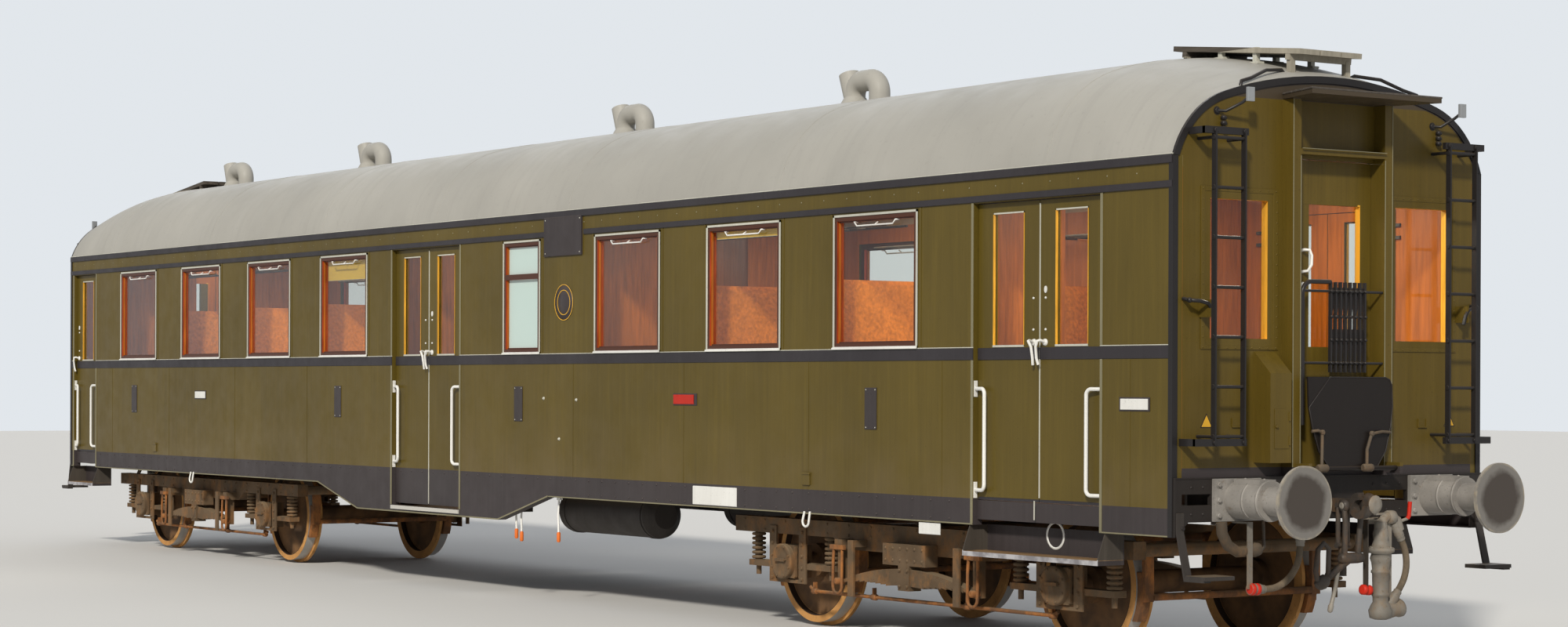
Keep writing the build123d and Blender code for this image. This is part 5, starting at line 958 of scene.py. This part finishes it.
def brake_hose(end, rows, node):
    points = [Vector((end * (HEADSTOCK_X + out), end * y, up(height))) for out, y, height in rows]
    curve = bpy.data.curves.new(node + "_rubber", "CURVE")
    curve.dimensions = "3D"
    spline = curve.splines.new("NURBS")
    spline.points.add(len(points) - 1)
    for knot, point in zip(spline.points, points):
        knot.co = (*point, 1)
    spline.order_u = 3
    spline.use_endpoint_u = True
    spline.resolution_u = 10
    curve.bevel_depth = HOSE_D / 2
    curve.bevel_resolution = 4
    curve.use_fill_caps = True
    curve.materials.append(MAT["rubber"])
    hose = bpy.data.objects.new(node + "_rubber", curve)
    bpy.context.scene.collection.objects.link(hose)
    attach(hose, "carbody")
    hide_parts(node)
    grips = Shape()
    for at, towards in ((points[0], points[1]), (points[-1], points[-2])):
        grips.lathe([(-0.004, 0.027), (0.004, 0.03), (0.018, 0.03), (0.022, 0.026), (0.034, 0.029),
                     (0.042, 0.026)], at, towards - at, 20)
    grips.build(node + "_clamps", "pipe", lift=0)


def blind(name, x, side, low):
    """A cloth blind hung from the window head with a light wave, and the bar in its hem."""
    top, half, y, columns, rows = 3.046, 0.455, side * 1.3272, 30, 8
    sheet = Shape()
    points = []
    for i in range(rows + 1):
        for j in range(columns + 1):
            wave = 0.0011 * sin(11.0 * j / columns + 2.0 * side) * (1 - 0.4 * i / rows)
            points.append((x + half * (2 * j / columns - 1), y + side * wave, top + (low - top) * i / rows))
    faces = [(i * (columns + 1) + j, i * (columns + 1) + j + 1, (i + 1) * (columns + 1) + j + 1,
              (i + 1) * (columns + 1) + j) for i in range(rows) for j in range(columns)]
    sheet.add(points, faces, True)
    piece = sheet.build(name, "blind")
    hem = Shape()
    hem.rod((x - half, y, low), (x + half, y, low), 0.0016, 8)
    bar = hem.build(name + "_hem", "trim")
    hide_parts("blinds")


add_camera()
for end, low_name, high_name in ((1, "left", "right"), (-1, "right", "left")):
    brake_hose(end, LOW_SIDE_HOSE, "brake_hose_" + END_NAME[end] + "_" + low_name)
    brake_hose(end, HIGH_SIDE_HOSE, "brake_hose_" + END_NAME[end] + "_" + high_name)
for side in (-1, 1):
    blind("blind_cloth_wide_" + SIDE_NAME[side], WINDOWS[3], side, 2.813)
    blind("blind_cloth_short_" + SIDE_NAME[side], WINDOWS[5], side, 2.942)

for side in (-1, 1):
    for add_details in (side_bands, side_seams, window_trim, leaf_details, side_plates, sole_bar_details):
        add_details(side)


# Roof section, as in the frame: shoulder arcs and a crown arc, drawn down at the ends
def arc(y, z, radius, start, end, steps):
    """Points (y, height) on a circle about y, z, at angles from upright."""
    angles = [start + (end - start) * i / steps for i in range(steps + 1)]
    return [(y + radius * sin(t), z + radius * cos(t)) for t in angles]


def roof_section(x, inset=0.0):
    """Points (y, height) of the roof's skin at x, from foot to foot."""
    t = (max(0.0, abs(x) - 8.1) / 1.25) ** 2
    r = 0.855 + t * (0.65 - 0.855)
    angle = radians(80 + t * (72 - 80))
    crest = H_CROWN + t * (3.83 - H_CROWN)
    sy, sz = HALF_W - r * sin(angle), H_EAVES - r * cos(angle)
    rise = crest - sz
    big = (sy ** 2 + rise ** 2 - r ** 2) / (2 * (rise - r))
    tangent = asin(sy / (big - r))
    low = acos((H_EAVES - sz) / (r + inset))
    half = arc(sy, sz, r + inset, low, tangent, 10) + arc(0, crest - big, big + inset, tangent, 0, 8)[1:]
    return half + [(-y, z) for y, z in half[-2::-1]]


def roof_height(x, y):
    """Height of the roof's skin at x, y."""
    section = roof_section(x)
    for (y0, z0), (y1, z1) in zip(section, section[1:]):
        if y1 <= y <= y0:
            return z0 + (z1 - z0) * (y - y0) / (y1 - y0)
    return section[0][1]


def roof_details():
    """Sheet joints across the roof, the pipe along the ridge, and the walkways' posts."""
    seams, pipe, posts = shapes(3)
    for x in (-8.1, -5.45, -2.8, -0.45, 1.9, 5.0, 8.1):
        seams.rings([[(x - 0.012, *i), (x - 0.01, *o), (x + 0.01, *o), (x + 0.012, *i)]
                     for o, i in zip(roof_section(x, 0.0025), roof_section(x, -0.004))], True, False)
    path = ((-0.6, 0.005), (-0.55, 0.028), (2.55, 0.028), (2.6, 0.005))
    pipe.tube([(x, 0.12, H_CROWN + rise) for x, rise in path], 0.02, 10)
    for x in (-0.3, 0.35, 1.1, 1.75, 2.4):
        pipe.box(x - 0.03, x + 0.03, 0.08, 0.16, H_CROWN - 0.004, H_CROWN + 0.026)
    for x in (8.57, 8.9):
        for y in (-0.25, 0.25):
            foot = roof_height(x, y)
            posts.box(x - 0.018, x + 0.018, y - 0.018, y + 0.018, foot - 0.01, H_WALK + 0.004)
            posts.box(x - 0.045, x + 0.045, y - 0.03, y + 0.03, foot - 0.01, foot + 0.006)
    seams.build("roof_seams", "roof")
    pipe.build("ridge_pipe", "roof")
    posts.build_ends("walkway_posts", "trim", bevel=0.002)


def ceiling():
    """A curved ceiling over the compartments, inside the roof."""
    sheet = Shape()
    section = roof_section(0.0, -0.075)
    count = len(section)
    sheet.add([(x, *pair) for x in (-8.0, 8.0) for pair in section],
              [(i, i + 1, count + i + 1, count + i) for i in range(count - 1)], True)
    sheet.build("ceiling", "ceiling")


def door_signs():
    """Blank ring signs on the step backs, bead lines on the door skirts, and levers by the middle door."""
    middle = middle_of("near")
    for side in (-1, 1):
        ring, beads, levers, grips = shapes(4)
        ring.lathe([(0, 0.095), (0.003, 0.095), (0.003, 0.078), (0, 0.078)],
                   (middle + 0.026, side * STEP_BACK_Y, 0.819), (0, side, 0), 40, False)
        beads.box(middle - 0.004, middle + 0.004, 1.384, 1.389, 0.925, 1.052, side)
        for x, low, high in ((0.9, 0.505, 0.665), (0.99, 0.485, 0.65), (1.62, 0.505, 0.69)):
            path = [(x, 1.29, high + 0.19), (x, 1.3, high + 0.02), (x + 0.015, 1.305, high - 0.06),
                    (x + 0.018, 1.305, low)]
            levers.tube(mirrored(side, path), 0.009, 8)
            levers.box(x - 0.025, x + 0.025, 1.27, 1.3, high + 0.15, high + 0.2, side)
            grips.lathe([(0, 0.012), (0.01, 0.017), (0.075, 0.017), (0.085, 0.011)],
                        (x + 0.018, side * 1.305, low - 0.02), UPRIGHT, 12)
        name = SIDE_NAME[side]
        ring.build("step_sign_ring_" + name, "white")
        beads.build("skirt_bead_" + name, "trim")
        levers.build("brake_levers_" + name, "white")
        grips.build("brake_lever_grips_" + name, "orange")


def end_trim():
    """Corner strips, the dark rim under the roof's edge, and riveted rims round the end windows."""
    corner, rim, rims, rivets = shapes(4)
    face, front = HALF_L - 0.001, HALF_L + 0.007
    for side in (-1, 1):
        strip = ((9.318, 1.384), (9.318, 1.393), (9.358, 1.393), (9.358, 1.35), (face, 1.35), (face, 1.384))
        corner.prism([(x, side * y) for x, y in strip], "xy", H_SOLE, 3.262)
        for row in ((0.487, 0.53, 2.05, 3.08), (1.12, 1.153, 2.05, 3.08), (0.53, 1.12, 3.05, 3.08),
                    (0.53, 1.12, 2.05, 2.075)):
            rims.box(face, front, *row, side)
        heads = [(0.508 + 0.629 * i / 9, z) for i in range(10) for z in (2.062, 3.066)]
        heads += [(y, 2.062 + 1.004 * i / 15) for i in range(1, 15) for y in (0.5, 1.137)]
        for y, z in heads:
            rivets.rivet((front, side * y, z), ALONG, 0.006)
    rim.rings([[(face, *i), (9.36, *i), (9.36, *o), (9.338, *o)]
               for o, i in zip(roof_section(HALF_L, 0.003), roof_section(HALF_L, -0.042))], True, False)
    corner.build_ends("corner_strips", "black")
    rim.build_ends("roof_edge_rim", "black")
    rims.build_ends("end_window_rims", "end", bevel=0.002)
    rivets.build_ends("end_window_rivets", "end")


def end_irons():
    """Ladder bars, grab bars on the roof's edge, signal plates and their arms, and the lamp hooks."""
    bars, knobs, plates = shapes(3)
    over_roof = [(9.33, 0.8, roof_height(9.33, 0.8) - 0.01), (9.334, 0.795, 3.762), (9.31, 0.69, 3.79),
                 (9.27, 0.52, roof_height(9.3, 0.55) + 0.055), (9.215, 0.33, 3.872),
                 (9.205, 0.3, roof_height(9.2, 0.3) - 0.01)]
    lamp_hook = [(9.352, 1.3, 2.365), (9.405, 1.296, 2.355), (9.44, 1.235, 2.35), (9.45, 1.175, 2.335),
                 (9.452, 1.14, 2.29), (9.45, 1.125, 2.235)]
    for side in (-1, 1):
        for row in ((9.476, 9.506, 0.89, 1.258, 3.398, 3.442), (HALF_L, 9.5, 1.24, 1.258, 3.398, 3.442),
                    (9.478, 9.508, 0.9, 1.33, 1.44, 1.486), (HALF_L, 9.5, 1.312, 1.33, 1.44, 1.486)):
            bars.box(*row, side)
        for y, way in ((0.925, -1), (1.175, 1)):
            for z in (3.42, 1.463):
                bars.bolt((9.508, side * y, z), ALONG, 0.014, 0.01)
            for i in range(7):
                knobs.lathe([(0, 0.017), (0.004, 0.015)], (9.5, side * (y + way * 0.007), 1.5 + 0.3125 * i),
                            (0, side * way, 0), 10)
        bars.tube(mirrored(side, over_roof), 0.012, 8)
        bars.tube(mirrored(side, lamp_hook), 0.013, 8)
        knobs.lathe([(0, 0.01), (0.008, 0.018), (0.02, 0.018), (0.028, 0.008)], (9.405, side * 1.308, 2.352),
                    (0, -side, 0.2), 12)
    for y_wall, y_plate in ((-1.02, -0.874), (0.924, 1.049)):
        bars.tube([(HALF_L, y_wall, 3.56), (9.385, y_wall + 0.045, 3.557), (9.455, y_plate - 0.025, 3.61),
                   (9.5, y_plate, 3.65)], 0.01, 8)
        bars.bolt((HALF_L, y_wall, 3.56), ALONG, 0.02, 0.012)
        for drop in (0.03, 0.065, 0.1):
            at = (9.372, y_wall + 0.04, 3.545 - drop)
            bars.collar(at, (0, 0.25, 1), 12, (0.014, 0.012), (0.006, 0.021))
        plates.box(9.49, 9.512, y_plate - 0.028, y_plate + 0.028, 3.615, 3.705)
        plates.box(9.486, 9.49, y_plate - 0.02, y_plate + 0.02, 3.63, 3.69)
    bars.build_ends("end_wall_irons", "black")
    knobs.build_ends("end_wall_knobs", "black")
    plates.build_ends("signal_plates", "grey", bevel=0.004)


def end_signs():
    """Blank yellow triangles, small holders, and the door and hinges of the cabinet."""
    for side in (-1, 1):
        border, face = shapes(2)
        for shape, half, x0, x1 in ((border, 0.052, HALF_L, 9.3515), (face, 0.042, 9.3515, 9.3525)):
            corners = ((-1, -0.58), (1, -0.58), (0, 1.16))
            shape.prism([(side * 1.098 + a * half, 1.584 + b * half) for a, b in corners], "yz", x0, x1)
        border.build_ends("triangle_border_" + SIDE_NAME[side], "black")
        face.build_ends("triangle_" + SIDE_NAME[side], "yellow")
    holders, door = shapes(2)
    for y, z in ((-0.843, 1.585), (0.837, 1.576)):
        holders.box(HALF_L, 9.354, y - 0.04, y + 0.04, z - 0.03, z + 0.03)
        for a in (-1, 1):
            holders.box(9.354, 9.361, y + a * 0.04, y + a * 0.032, z - 0.03, z + 0.03)
        holders.box(9.354, 9.361, y - 0.032, y + 0.032, z - 0.03, z - 0.023)
    door.box(9.5, 9.504, -0.655, -0.53, 1.42, 1.674)
    for z in (1.47, 1.625):
        door.rod((9.506, -0.526, z - 0.028), (9.506, -0.526, z + 0.028), 0.006, 8)
    door.lathe([(0, 0.011), (0.01, 0.011), (0.013, 0.006)], (9.504, -0.64, 1.56), ALONG, 12)
    holders.build_ends("small_holders", "end", bevel=0.001)
    door.build_ends("cabinet_door", "end", bevel=0.0015)


def gangway_details():
    """Planks on the canopy, painted highlights along the portal's edges, the gates' knuckles, and the end
    doors' irons.
    """
    planks, edges, knuckles, grip, disc, stile = shapes(6)
    for x0, x1 in ((9.352, 9.478), (9.486, 9.612), (9.62, 9.752)):
        half = [0.455 + (0.588 - 0.455) * (x - 9.35) / 0.4 for x in (x0, x1)]
        planks.prism([(x0, -half[0]), (x1, -half[1]), (x1, half[1]), (x0, half[0])], "xy", 3.694, 3.706)
    planks.build_ends("canopy_planks", "walk", bevel=0.002)
    # Thin pale strips on the fronts of the portal's columns and over its opening: painted highlights where
    # light catches the edges.
    for side in (-1, 1):
        edges.box(9.4495, 9.4525, 0.378, 0.384, 1.3, 3.3, side)
        edges.box(9.4495, 9.4525, 0.444, 0.45, 1.3, 3.66, side)
    edges.box(9.46, 9.47, -0.378, 0.378, 3.345, 3.349)
    edges.build_ends("portal_painted_highlights", "edge")
    for i in range(8):
        y = -0.095 + 0.044 * i
        for z in (1.97, 2.12, 2.27, 2.435):
            knuckles.lathe([(0, 0.011), (0.006, 0.011), (0.01, 0.006)], (9.442, y, z), ALONG, 10)
        if i < 7:
            for a, b in ((1.94, 2.19), (2.21, 2.46)):
                knuckles.bar((9.424, y + 0.008, a), (9.424, y + 0.036, b), 0.003, 0.007)
    knuckles.build_ends("gate_knuckles", "black")
    stile.box(9.2865, 9.3245, -0.2764, -0.186, 2.0753, 2.9997)
    grip.tube([(9.324, -0.25, 2.7), (9.352, -0.248, 2.702), (9.372, -0.224, 2.7),
               (9.376, -0.21, 2.665), (9.376, -0.212, 2.605), (9.368, -0.234, 2.566),
               (9.324, -0.248, 2.56)], 0.01, 10)
    disc.lathe([(0, 0.022), (0.005, 0.022), (0.008, 0.016)], (9.325, -0.24, 2.472), ALONG, 20)
    stile.build_ends("end_door_stile", "end", "end_door_near")
    grip.build_ends("end_door_grip", "white", "end_door_near")
    disc.build_ends("end_door_keyhole", "white", "end_door_near")


def bridge_point(y, along, front=0.0):
    """A point on the raised bridge plate: along it from its pin, and in front of its face."""
    lean = radians(3)
    return (9.54 - along * sin(lean) + front * cos(lean), y, 1.29 + along * cos(lean) + front * sin(lean))


def bridge_details():
    """A worn edge and the levers on the raised bridge plates."""
    edge, irons = shapes(2)
    outline = [(0.215, 0.004), (0.3, 0.11), (0.35, 0.26), (0.377, 0.4), (0.377, 0.54), (0.36, 0.574),
               (0.324, 0.588), (-0.18, 0.588), (-0.376, 0.392), (-0.35, 0.26), (-0.3, 0.11), (-0.215, 0.004)]
    edge.tube([bridge_point(y, along, 0.006) for y, along in outline], 0.0045, 6)
    for low_y, knee_y, top_y, knee in ((-0.3, -0.285, -0.375, 0.232), (0.105, 0.16, 0.33, 0.222)):
        irons.tube([bridge_point(low_y, 0.01, 0.024), bridge_point(low_y + 0.01, 0.12, 0.022),
                    bridge_point(knee_y, knee, 0.024)], 0.011, 8)
        half_y = (knee_y + top_y) / 2
        irons.tube([bridge_point(knee_y, knee, 0.028), bridge_point(half_y, knee + 0.012, 0.034),
                    bridge_point(top_y, knee + 0.008, 0.022)], 0.01, 8)
        irons.lathe([(0, 0.018), (0.014, 0.018), (0.02, 0.01)], bridge_point(knee_y, knee, 0.02), ALONG, 14)
        irons.lathe([(0, 0.018), (0.01, 0.026), (0.08, 0.026), (0.09, 0.018)],
                    bridge_point(low_y - 0.045, 0.002, 0.03), ACROSS, 18)
    edge.build_ends("bridge_plate_edge", "headstock", "bridge_plate_near")
    irons.build_ends("bridge_plate_levers", "stored", "bridge_plate_near")


def buffer_details():
    """Bolts and bands on the buffer housings, rivets on the headstock and the ledge along its top."""
    bolts, heads = shapes(2)
    for side in (-1, 1):
        y = side * BUFFER_Y
        for dy in (-0.165, 0.165):
            for dz in (-0.098, 0.0, 0.098):
                bolts.bolt((9.405, y + dy, H_BUFFER + dz), ALONG, 0.017, 0.016)
        for r, x in ((0.1245, 9.56), (0.1305, 9.694)):
            bolts.collar((x, y, H_BUFFER), ALONG, 40, (0.008, r - 0.006), (0.006, r), False)
        for x in (9.47, 9.64):
            bolts.rivet((x, y, 1.232), UPRIGHT, 0.01)
        heads.bolt((9.386, side * 1.33, 0.925), ALONG, 0.015, 0.012)
        for y in (0.35, 0.48, 0.6, 1.15, 1.25):
            for z in (1.18, 1.01):
                heads.rivet((HEADSTOCK_X, side * y, z), ALONG, 0.01)
    heads.box(HEADSTOCK_X - 0.001, HEADSTOCK_X + 0.004, -HALF_W, HALF_W, 1.232, 1.241)
    bolts.build_ends("buffer_bolts", "buffer")
    heads.build_ends("headstock_rivets", "headstock")


def coupling_details():
    """The draw hook's nose and pin, the coupling's bars, nut, screw thread and swinging handle."""
    hook, pale = shapes(2)
    x, z = 9.53, 1.05
    hook.lathe([(-0.03, 0.03), (-0.024, 0.06), (0.0, 0.074), (0.024, 0.06), (0.03, 0.03)],
               (9.64, 0.045, z + 0.01), ACROSS, 28)
    pale.lathe([(0, 0.06), (0.01, 0.052), (0.016, 0.03)], (9.698, 0.045, z + 0.01), ALONG, 24)
    for side in (-1, 1):
        hook.lathe([(0, 0.04), (0.02, 0.04), (0.03, 0.026)], (x, side * 0.058, z), (0, side, 0), 20)
        pale.lathe([(0.03, 0.022), (0.036, 0.014)], (x, side * 0.058, z), (0, side, 0), 14)
        hook.tube(mirrored(side, [(x, 0.066, z), (9.545, 0.068, z - 0.1), (9.535, 0.062, z - 0.24),
                                  (x, 0.06, z - 0.34)]), 0.019, 10)
    nut = Vector((x, 0.0, z - 0.34))
    hook.lathe([(-0.1, 0.02), (-0.092, 0.032), (-0.05, 0.036), (0.05, 0.036), (0.092, 0.032), (0.1, 0.02)],
               nut, ACROSS, 20)
    foot = Vector((9.505, -0.23, 0.56))
    ahead = (foot - nut).normalized()
    length = (foot - nut).length
    pitch = 0.006
    hook.lathe([(i * pitch, 0.02 if i % 2 else 0.025) for i in range(int(length / pitch))], nut, ahead, 14)
    hook.lathe([(-0.05, 0.022), (-0.03, 0.04), (0.01, 0.046), (0.04, 0.036), (0.052, 0.02)], foot, ahead, 20)
    shackle = ((0.0, -0.045, 0.01), (0, -0.06, 0.07), (0, -0.04, 0.21), (0, 0.01, 0.25), (0, 0.055, 0.215),
               (0, 0.05, 0.06), (0, 0.02, 0.0))
    hook.tube([foot + Vector(p) for p in shackle], 0.017, 10)
    root = nut + ahead * (length * 0.45)
    handle = [root + Vector(p) for p in ((0, 0, 0), (0.01, -0.035, -0.12), (0.012, -0.075, -0.235))]
    pale.tube(handle, 0.014, 10)
    pale.lathe([(-0.01, 0.014), (0.0, 0.019), (0.035, 0.017), (0.045, 0.008)], handle[-1], (0, -0.3, -1), 12)
    hook.build_ends("screw_coupling", "grease")
    pale.build_ends("coupling_worn_parts", "pipe")


def pipe_details():
    """The heating coupling's body, cocks, the red handle and couplings, and the straps that hold them."""
    body, stored, red, straps = shapes(4)
    x, y = 9.52, 0.28
    profile = [(0.0, 0.04), (0.01, 0.07), (0.06, 0.078), (0.1, 0.06), (0.115, 0.05), (0.15, 0.052),
               (0.156, 0.058), (0.168, 0.058), (0.174, 0.052), (0.3, 0.055), (0.306, 0.062), (0.32, 0.062),
               (0.326, 0.055), (0.37, 0.06), (0.4, 0.07), (0.43, 0.06), (0.44, 0.088), (0.466, 0.09),
               (0.474, 0.06), (0.52, 0.046), (0.56, 0.052), (0.6, 0.04), (0.64, 0.036)]
    body.lathe(profile, (x, y, 0.3), UPRIGHT, 28)
    for angle in range(20, 360, 60):
        t = radians(angle)
        body.bolt((x + 0.07 * cos(t), y + 0.07 * sin(t), 0.766), UPRIGHT, 0.01, 0.01)
    body.lathe([(0, 0.046), (0.03, 0.056), (0.12, 0.05), (0.15, 0.06), (0.17, 0.06), (0.18, 0.04)],
               (x, 0.29, 0.35), (0, 1, 0.12), 22)
    body.tube([(x, y, 0.9), (x, 0.305, 0.96), (9.522, 0.36, 0.975), (9.528, 0.415, 0.945),
               (9.53, 0.438, 0.88)], 0.034, 14)
    body.collar((9.522, 0.365, 0.965), ACROSS, 20, (0.03, 0.036), (0.024, 0.046))
    body.bar((x, 0.225, 0.988), (x, 0.345, 0.992), 0.012, 0.006)
    body.rod((x, 0.285, 0.93), (x, 0.285, 0.988), 0.012, 10)
    body.tube([(x, 0.42, 0.925), (9.535, 0.47, 0.945), (9.545, 0.5, 0.955)], 0.011, 8)
    stored.tube([(9.45, -1.06, 0.96), (9.452, -1.055, 0.89), (9.455, -1.01, 0.815), (9.458, -0.93, 0.772),
                 (9.46, -0.83, 0.775)], 0.036, 16)
    stored.lathe([(-0.03, 0.034), (-0.02, 0.044), (0.02, 0.046), (0.05, 0.04), (0.06, 0.028)],
                 (9.46, -0.8, 0.78), (0, 1, 0.1), 20)
    red.tube([(9.545, 0.5, 0.955), (9.552, 0.507, 0.975), (9.556, 0.511, 1.066)], 0.014, 10)
    for at, ahead, r in (((9.494, -0.782, 0.533), (0, -1, 0.02), 0.0385),
                         ((9.5, 0.205, 0.492), (0, -1, 0.1), 0.034)):
        red.lathe([(0, r * 0.8), (0.006, r), (0.03, r), (0.034, r * 0.85), (0.044, r * 0.85), (0.048, r),
                   (0.07, r), (0.076, r * 0.7)], at, ahead, 18)
    straps.bar((9.5, 0.165, 0.5), (9.5, 0.165, 0.955), 0.02, 0.005)
    straps.tube([(9.47, -0.72, 0.96), (9.474, -0.715, 0.8), (9.478, -0.74, 0.78)], 0.01, 8)
    body.build_ends("heating_coupling", "pipe")
    stored.build_ends("stored_heating_bend", "stored")
    red.build_ends("red_couplings", "red")
    straps.build_ends("hose_straps", "iron")


def bogie_details():
    """Box covers, bolts and rivets, spring shackles and the brake pull rods on both bogies."""
    cover = [(-0.004, 0.134), (0.008, 0.134), (0.014, 0.126), (0.014, 0.108), (0.006, 0.098), (0.004, 0.06),
             (0.01, 0.03), (0.012, 0.002)]
    pull_rod = ((-1.36, 0.292), (-1.3, 0.262), (1.48, 0.262), (1.54, 0.292))
    shackle_leg = [(0.052, 1.18, 0.61), (0.055, 1.184, 0.52), (0.055, 1.186, 0.35)]
    for end, cx in ((1, PIVOT_X), (-1, -PIVOT_X)):
        covers, rivets, irons = shapes(3)
        for side in (-1, 1):
            out = (0, side, 0)
            spring_y, rod_y = side * 1.18, side * 1.03
            for x in (cx - HALF_BASE, cx + HALF_BASE):
                covers.lathe(cover, (x, side * 1.13, WHEEL_R), out, 36)
                z = WHEEL_R + 0.012
                covers.bar((x - 0.062, side * 1.152, z), (x + 0.062, side * 1.152, z), 0.008, 0.011)
                for stud in (x - 0.056, x + 0.056):
                    covers.rod((stud, side * 1.132, z), (stud, side * 1.152, z), 0.009, 8)
                for t in turns(16)[1::2]:
                    at = (x + 0.117 * cos(t), side * 1.144, WHEEL_R + 0.117 * sin(t))
                    covers.bolt(at, out, 0.008, 0.008)
                for way in (-1, 1):
                    for z in (0.345, 0.43, 0.52, 0.61, 0.7):
                        rivets.bolt((x + way * 0.195, side * 1.079, z), out, 0.013, 0.012)
                    guide = x + way * 0.128
                    rivets.bar((guide, side * 1.09, 0.36), (guide, side * 1.09, 0.59), 0.008, 0.01)
            for i in range(17):
                along = (i - 8) * 0.275
                rivets.rivet((cx + along, side * 1.065, 0.775), out, 0.012)
                if abs(abs(along) - HALF_BASE) > 0.26 and abs(along) > 0.3:
                    rivets.rivet((cx + along, side * 1.065, 0.705), out, 0.012)
            for i in range(6):
                for z in (0.56, 0.645):
                    rivets.rivet((cx - 0.215 + 0.086 * i, spring_y, z), out, 0.013)
            for x in (cx - 0.045, cx + 0.045):
                for z in (0.375, 0.49):
                    rivets.bolt((x, spring_y, z), out, 0.012, 0.012)
            for x in (cx - 0.8, cx + 0.8):
                loop = [(x - dx, y, z) for dx, y, z in shackle_leg]
                loop += [(x + 0.055 * cos(t), 1.186, 0.335 + 0.055 * sin(t)) for t in lower_half(8)]
                loop += [(x + dx, y, z) for dx, y, z in shackle_leg[::-1]]
                irons.tube(mirrored(side, loop), 0.012, 8)
                irons.box(x - 0.085, x + 0.085, 1.17, 1.196, 0.606, 0.64, side)
                irons.lathe([(-0.055, 0.026), (0.016, 0.026), (0.022, 0.016)], (x, side * 1.184, 0.372), out,
                            14)
            irons.tube([(cx + along, rod_y, z) for along, z in pull_rod], 0.014, 8)
            for x in (cx - 1.3, cx - 0.55, cx + 0.55, cx + 1.48):
                irons.collar((x, rod_y, 0.262), ALONG, 10, (0.03, 0.018), (0.026, 0.023))
                irons.bar((x, rod_y, 0.27), (x, rod_y, 0.33), 0.006, 0.016)
        name = END_NAME[end]
        covers.build("axle_box_covers_" + name, "bogie", "bogie_" + name)
        rivets.build("bogie_rivets_" + name, "bogie", "bogie_" + name)
        irons.build("spring_shackles_" + name, "rust", "bogie_" + name)


def inside_details():
    """Plywood backs on the benches and racks over the windows, seen through the panes."""
    panels, racks = shapes(2)
    rack = 2.98
    for side in (-1, 1):
        for x in [window - 0.8425 for window in WINDOWS[1:4] + WINDOWS[5:]]:
            for facing in (-1, 1):
                for low, high in ((1.807, 1.917), (1.923, 2.572)):
                    x0, x1 = [x + facing * (0.065 + 0.06 * (1 - (z - 1.732) / 0.9)) for z in (low, high)]
                    thick = facing * 0.014
                    panels.prism([(x0, low), (x0 + thick, low), (x1 + thick, high), (x1, high)], "xz",
                                 side * 0.37, side * 1.28)
            for shelf in (x - 0.1, x + 0.1):
                racks.rod((shelf, side * 0.92, rack), (shelf, side * 1.29, rack), 0.009, 8)
            for y, radius in ((0.92, 0.01), (1.1, 0.006)):
                racks.rod((x - 0.6, side * y, rack), (x + 0.6, side * y, rack), radius, 8)
    panels.build("bench_backs", "bench")
    racks.build("luggage_racks", "iron")


for add_details in (roof_details, ceiling, door_signs, end_trim, end_irons, end_signs, gangway_details,
                    bridge_details, buffer_details, coupling_details, pipe_details, bogie_details,
                    inside_details):
    add_details()


def add_lamp(name, kind, power, colour):
    lamp = bpy.data.lights.new(name, kind)
    lamp.energy = power
    lamp.color = colour
    holder = bpy.data.objects.new(name, lamp)
    bpy.context.scene.collection.objects.link(holder)
    return lamp, holder


def add_stage():
    """Ground, sky, suns, and lamps in the carriage."""
    mesh = bpy.data.meshes.new("ground")
    mesh.from_pydata([(-90, -90, 0), (90, -90, 0), (90, 90, 0), (-90, 90, 0)], [], [(0, 1, 2, 3)])
    mesh.materials.append(Nodes("pale_ground").surface((0.62, 0.61, 0.59), 0.9))
    ground = bpy.data.objects.new("ground", mesh)
    bpy.context.scene.collection.objects.link(ground)
    world = bpy.data.worlds.new("studio")
    bpy.context.scene.world = world
    world.use_nodes = True
    tree = world.node_tree
    mix = tree.nodes.new("ShaderNodeMixShader")
    tree.links.new(tree.nodes.new("ShaderNodeLightPath").outputs["Is Camera Ray"], mix.inputs[0])
    # The second sky is the one that the camera sees; the first one lights the scene
    for i, sky, colour, strength in ((1, tree.nodes["Background"], (0.86, 0.9, 0.96, 1), 0.55),
                                     (2, tree.nodes.new("ShaderNodeBackground"), (0.8, 0.84, 0.88, 1), 0.95)):
        sky.inputs["Color"].default_value = colour
        sky.inputs["Strength"].default_value = strength
        tree.links.new(sky.outputs[0], mix.inputs[i])
    tree.links.new(mix.outputs[0], tree.nodes["World Output"].inputs["Surface"])
    # The key light stands where the photograph's sun does: to the left of the camera, fairly low
    for name, power, spread, direction, colour in (("key", 3.1, 5, (-0.72, 0.8, -0.68), (1.0, 0.95, 0.86)),
                                                   ("fill", 0.4, 40, (0.9, -0.6, -0.5), (0.92, 0.96, 1.0))):
        lamp, holder = add_lamp(name, "SUN", power, colour)
        lamp.angle = radians(spread)
        holder.rotation_euler = Vector(direction).to_track_quat("-Z", "Y").to_euler()
    # Lamps under the ceiling, so that the inside shows through the panes
    for x, power in ((-8.6, 18), (-6.5, 32), (-4.0, 32), (-1.9, 32), (-0.6, 18), (3.6, 38), (6.0, 38),
                     (8.5, 60)):
        lamp, holder = add_lamp("cabin", "AREA", power, (1.0, 0.93, 0.82))
        lamp.shape = "RECTANGLE"
        lamp.size, lamp.size_y = 1.0, 1.4
        holder.location = (x, 0, up(3.35))
        holder.visible_camera = False


add_stage()
bpy.context.scene.view_settings.view_transform = "Standard"
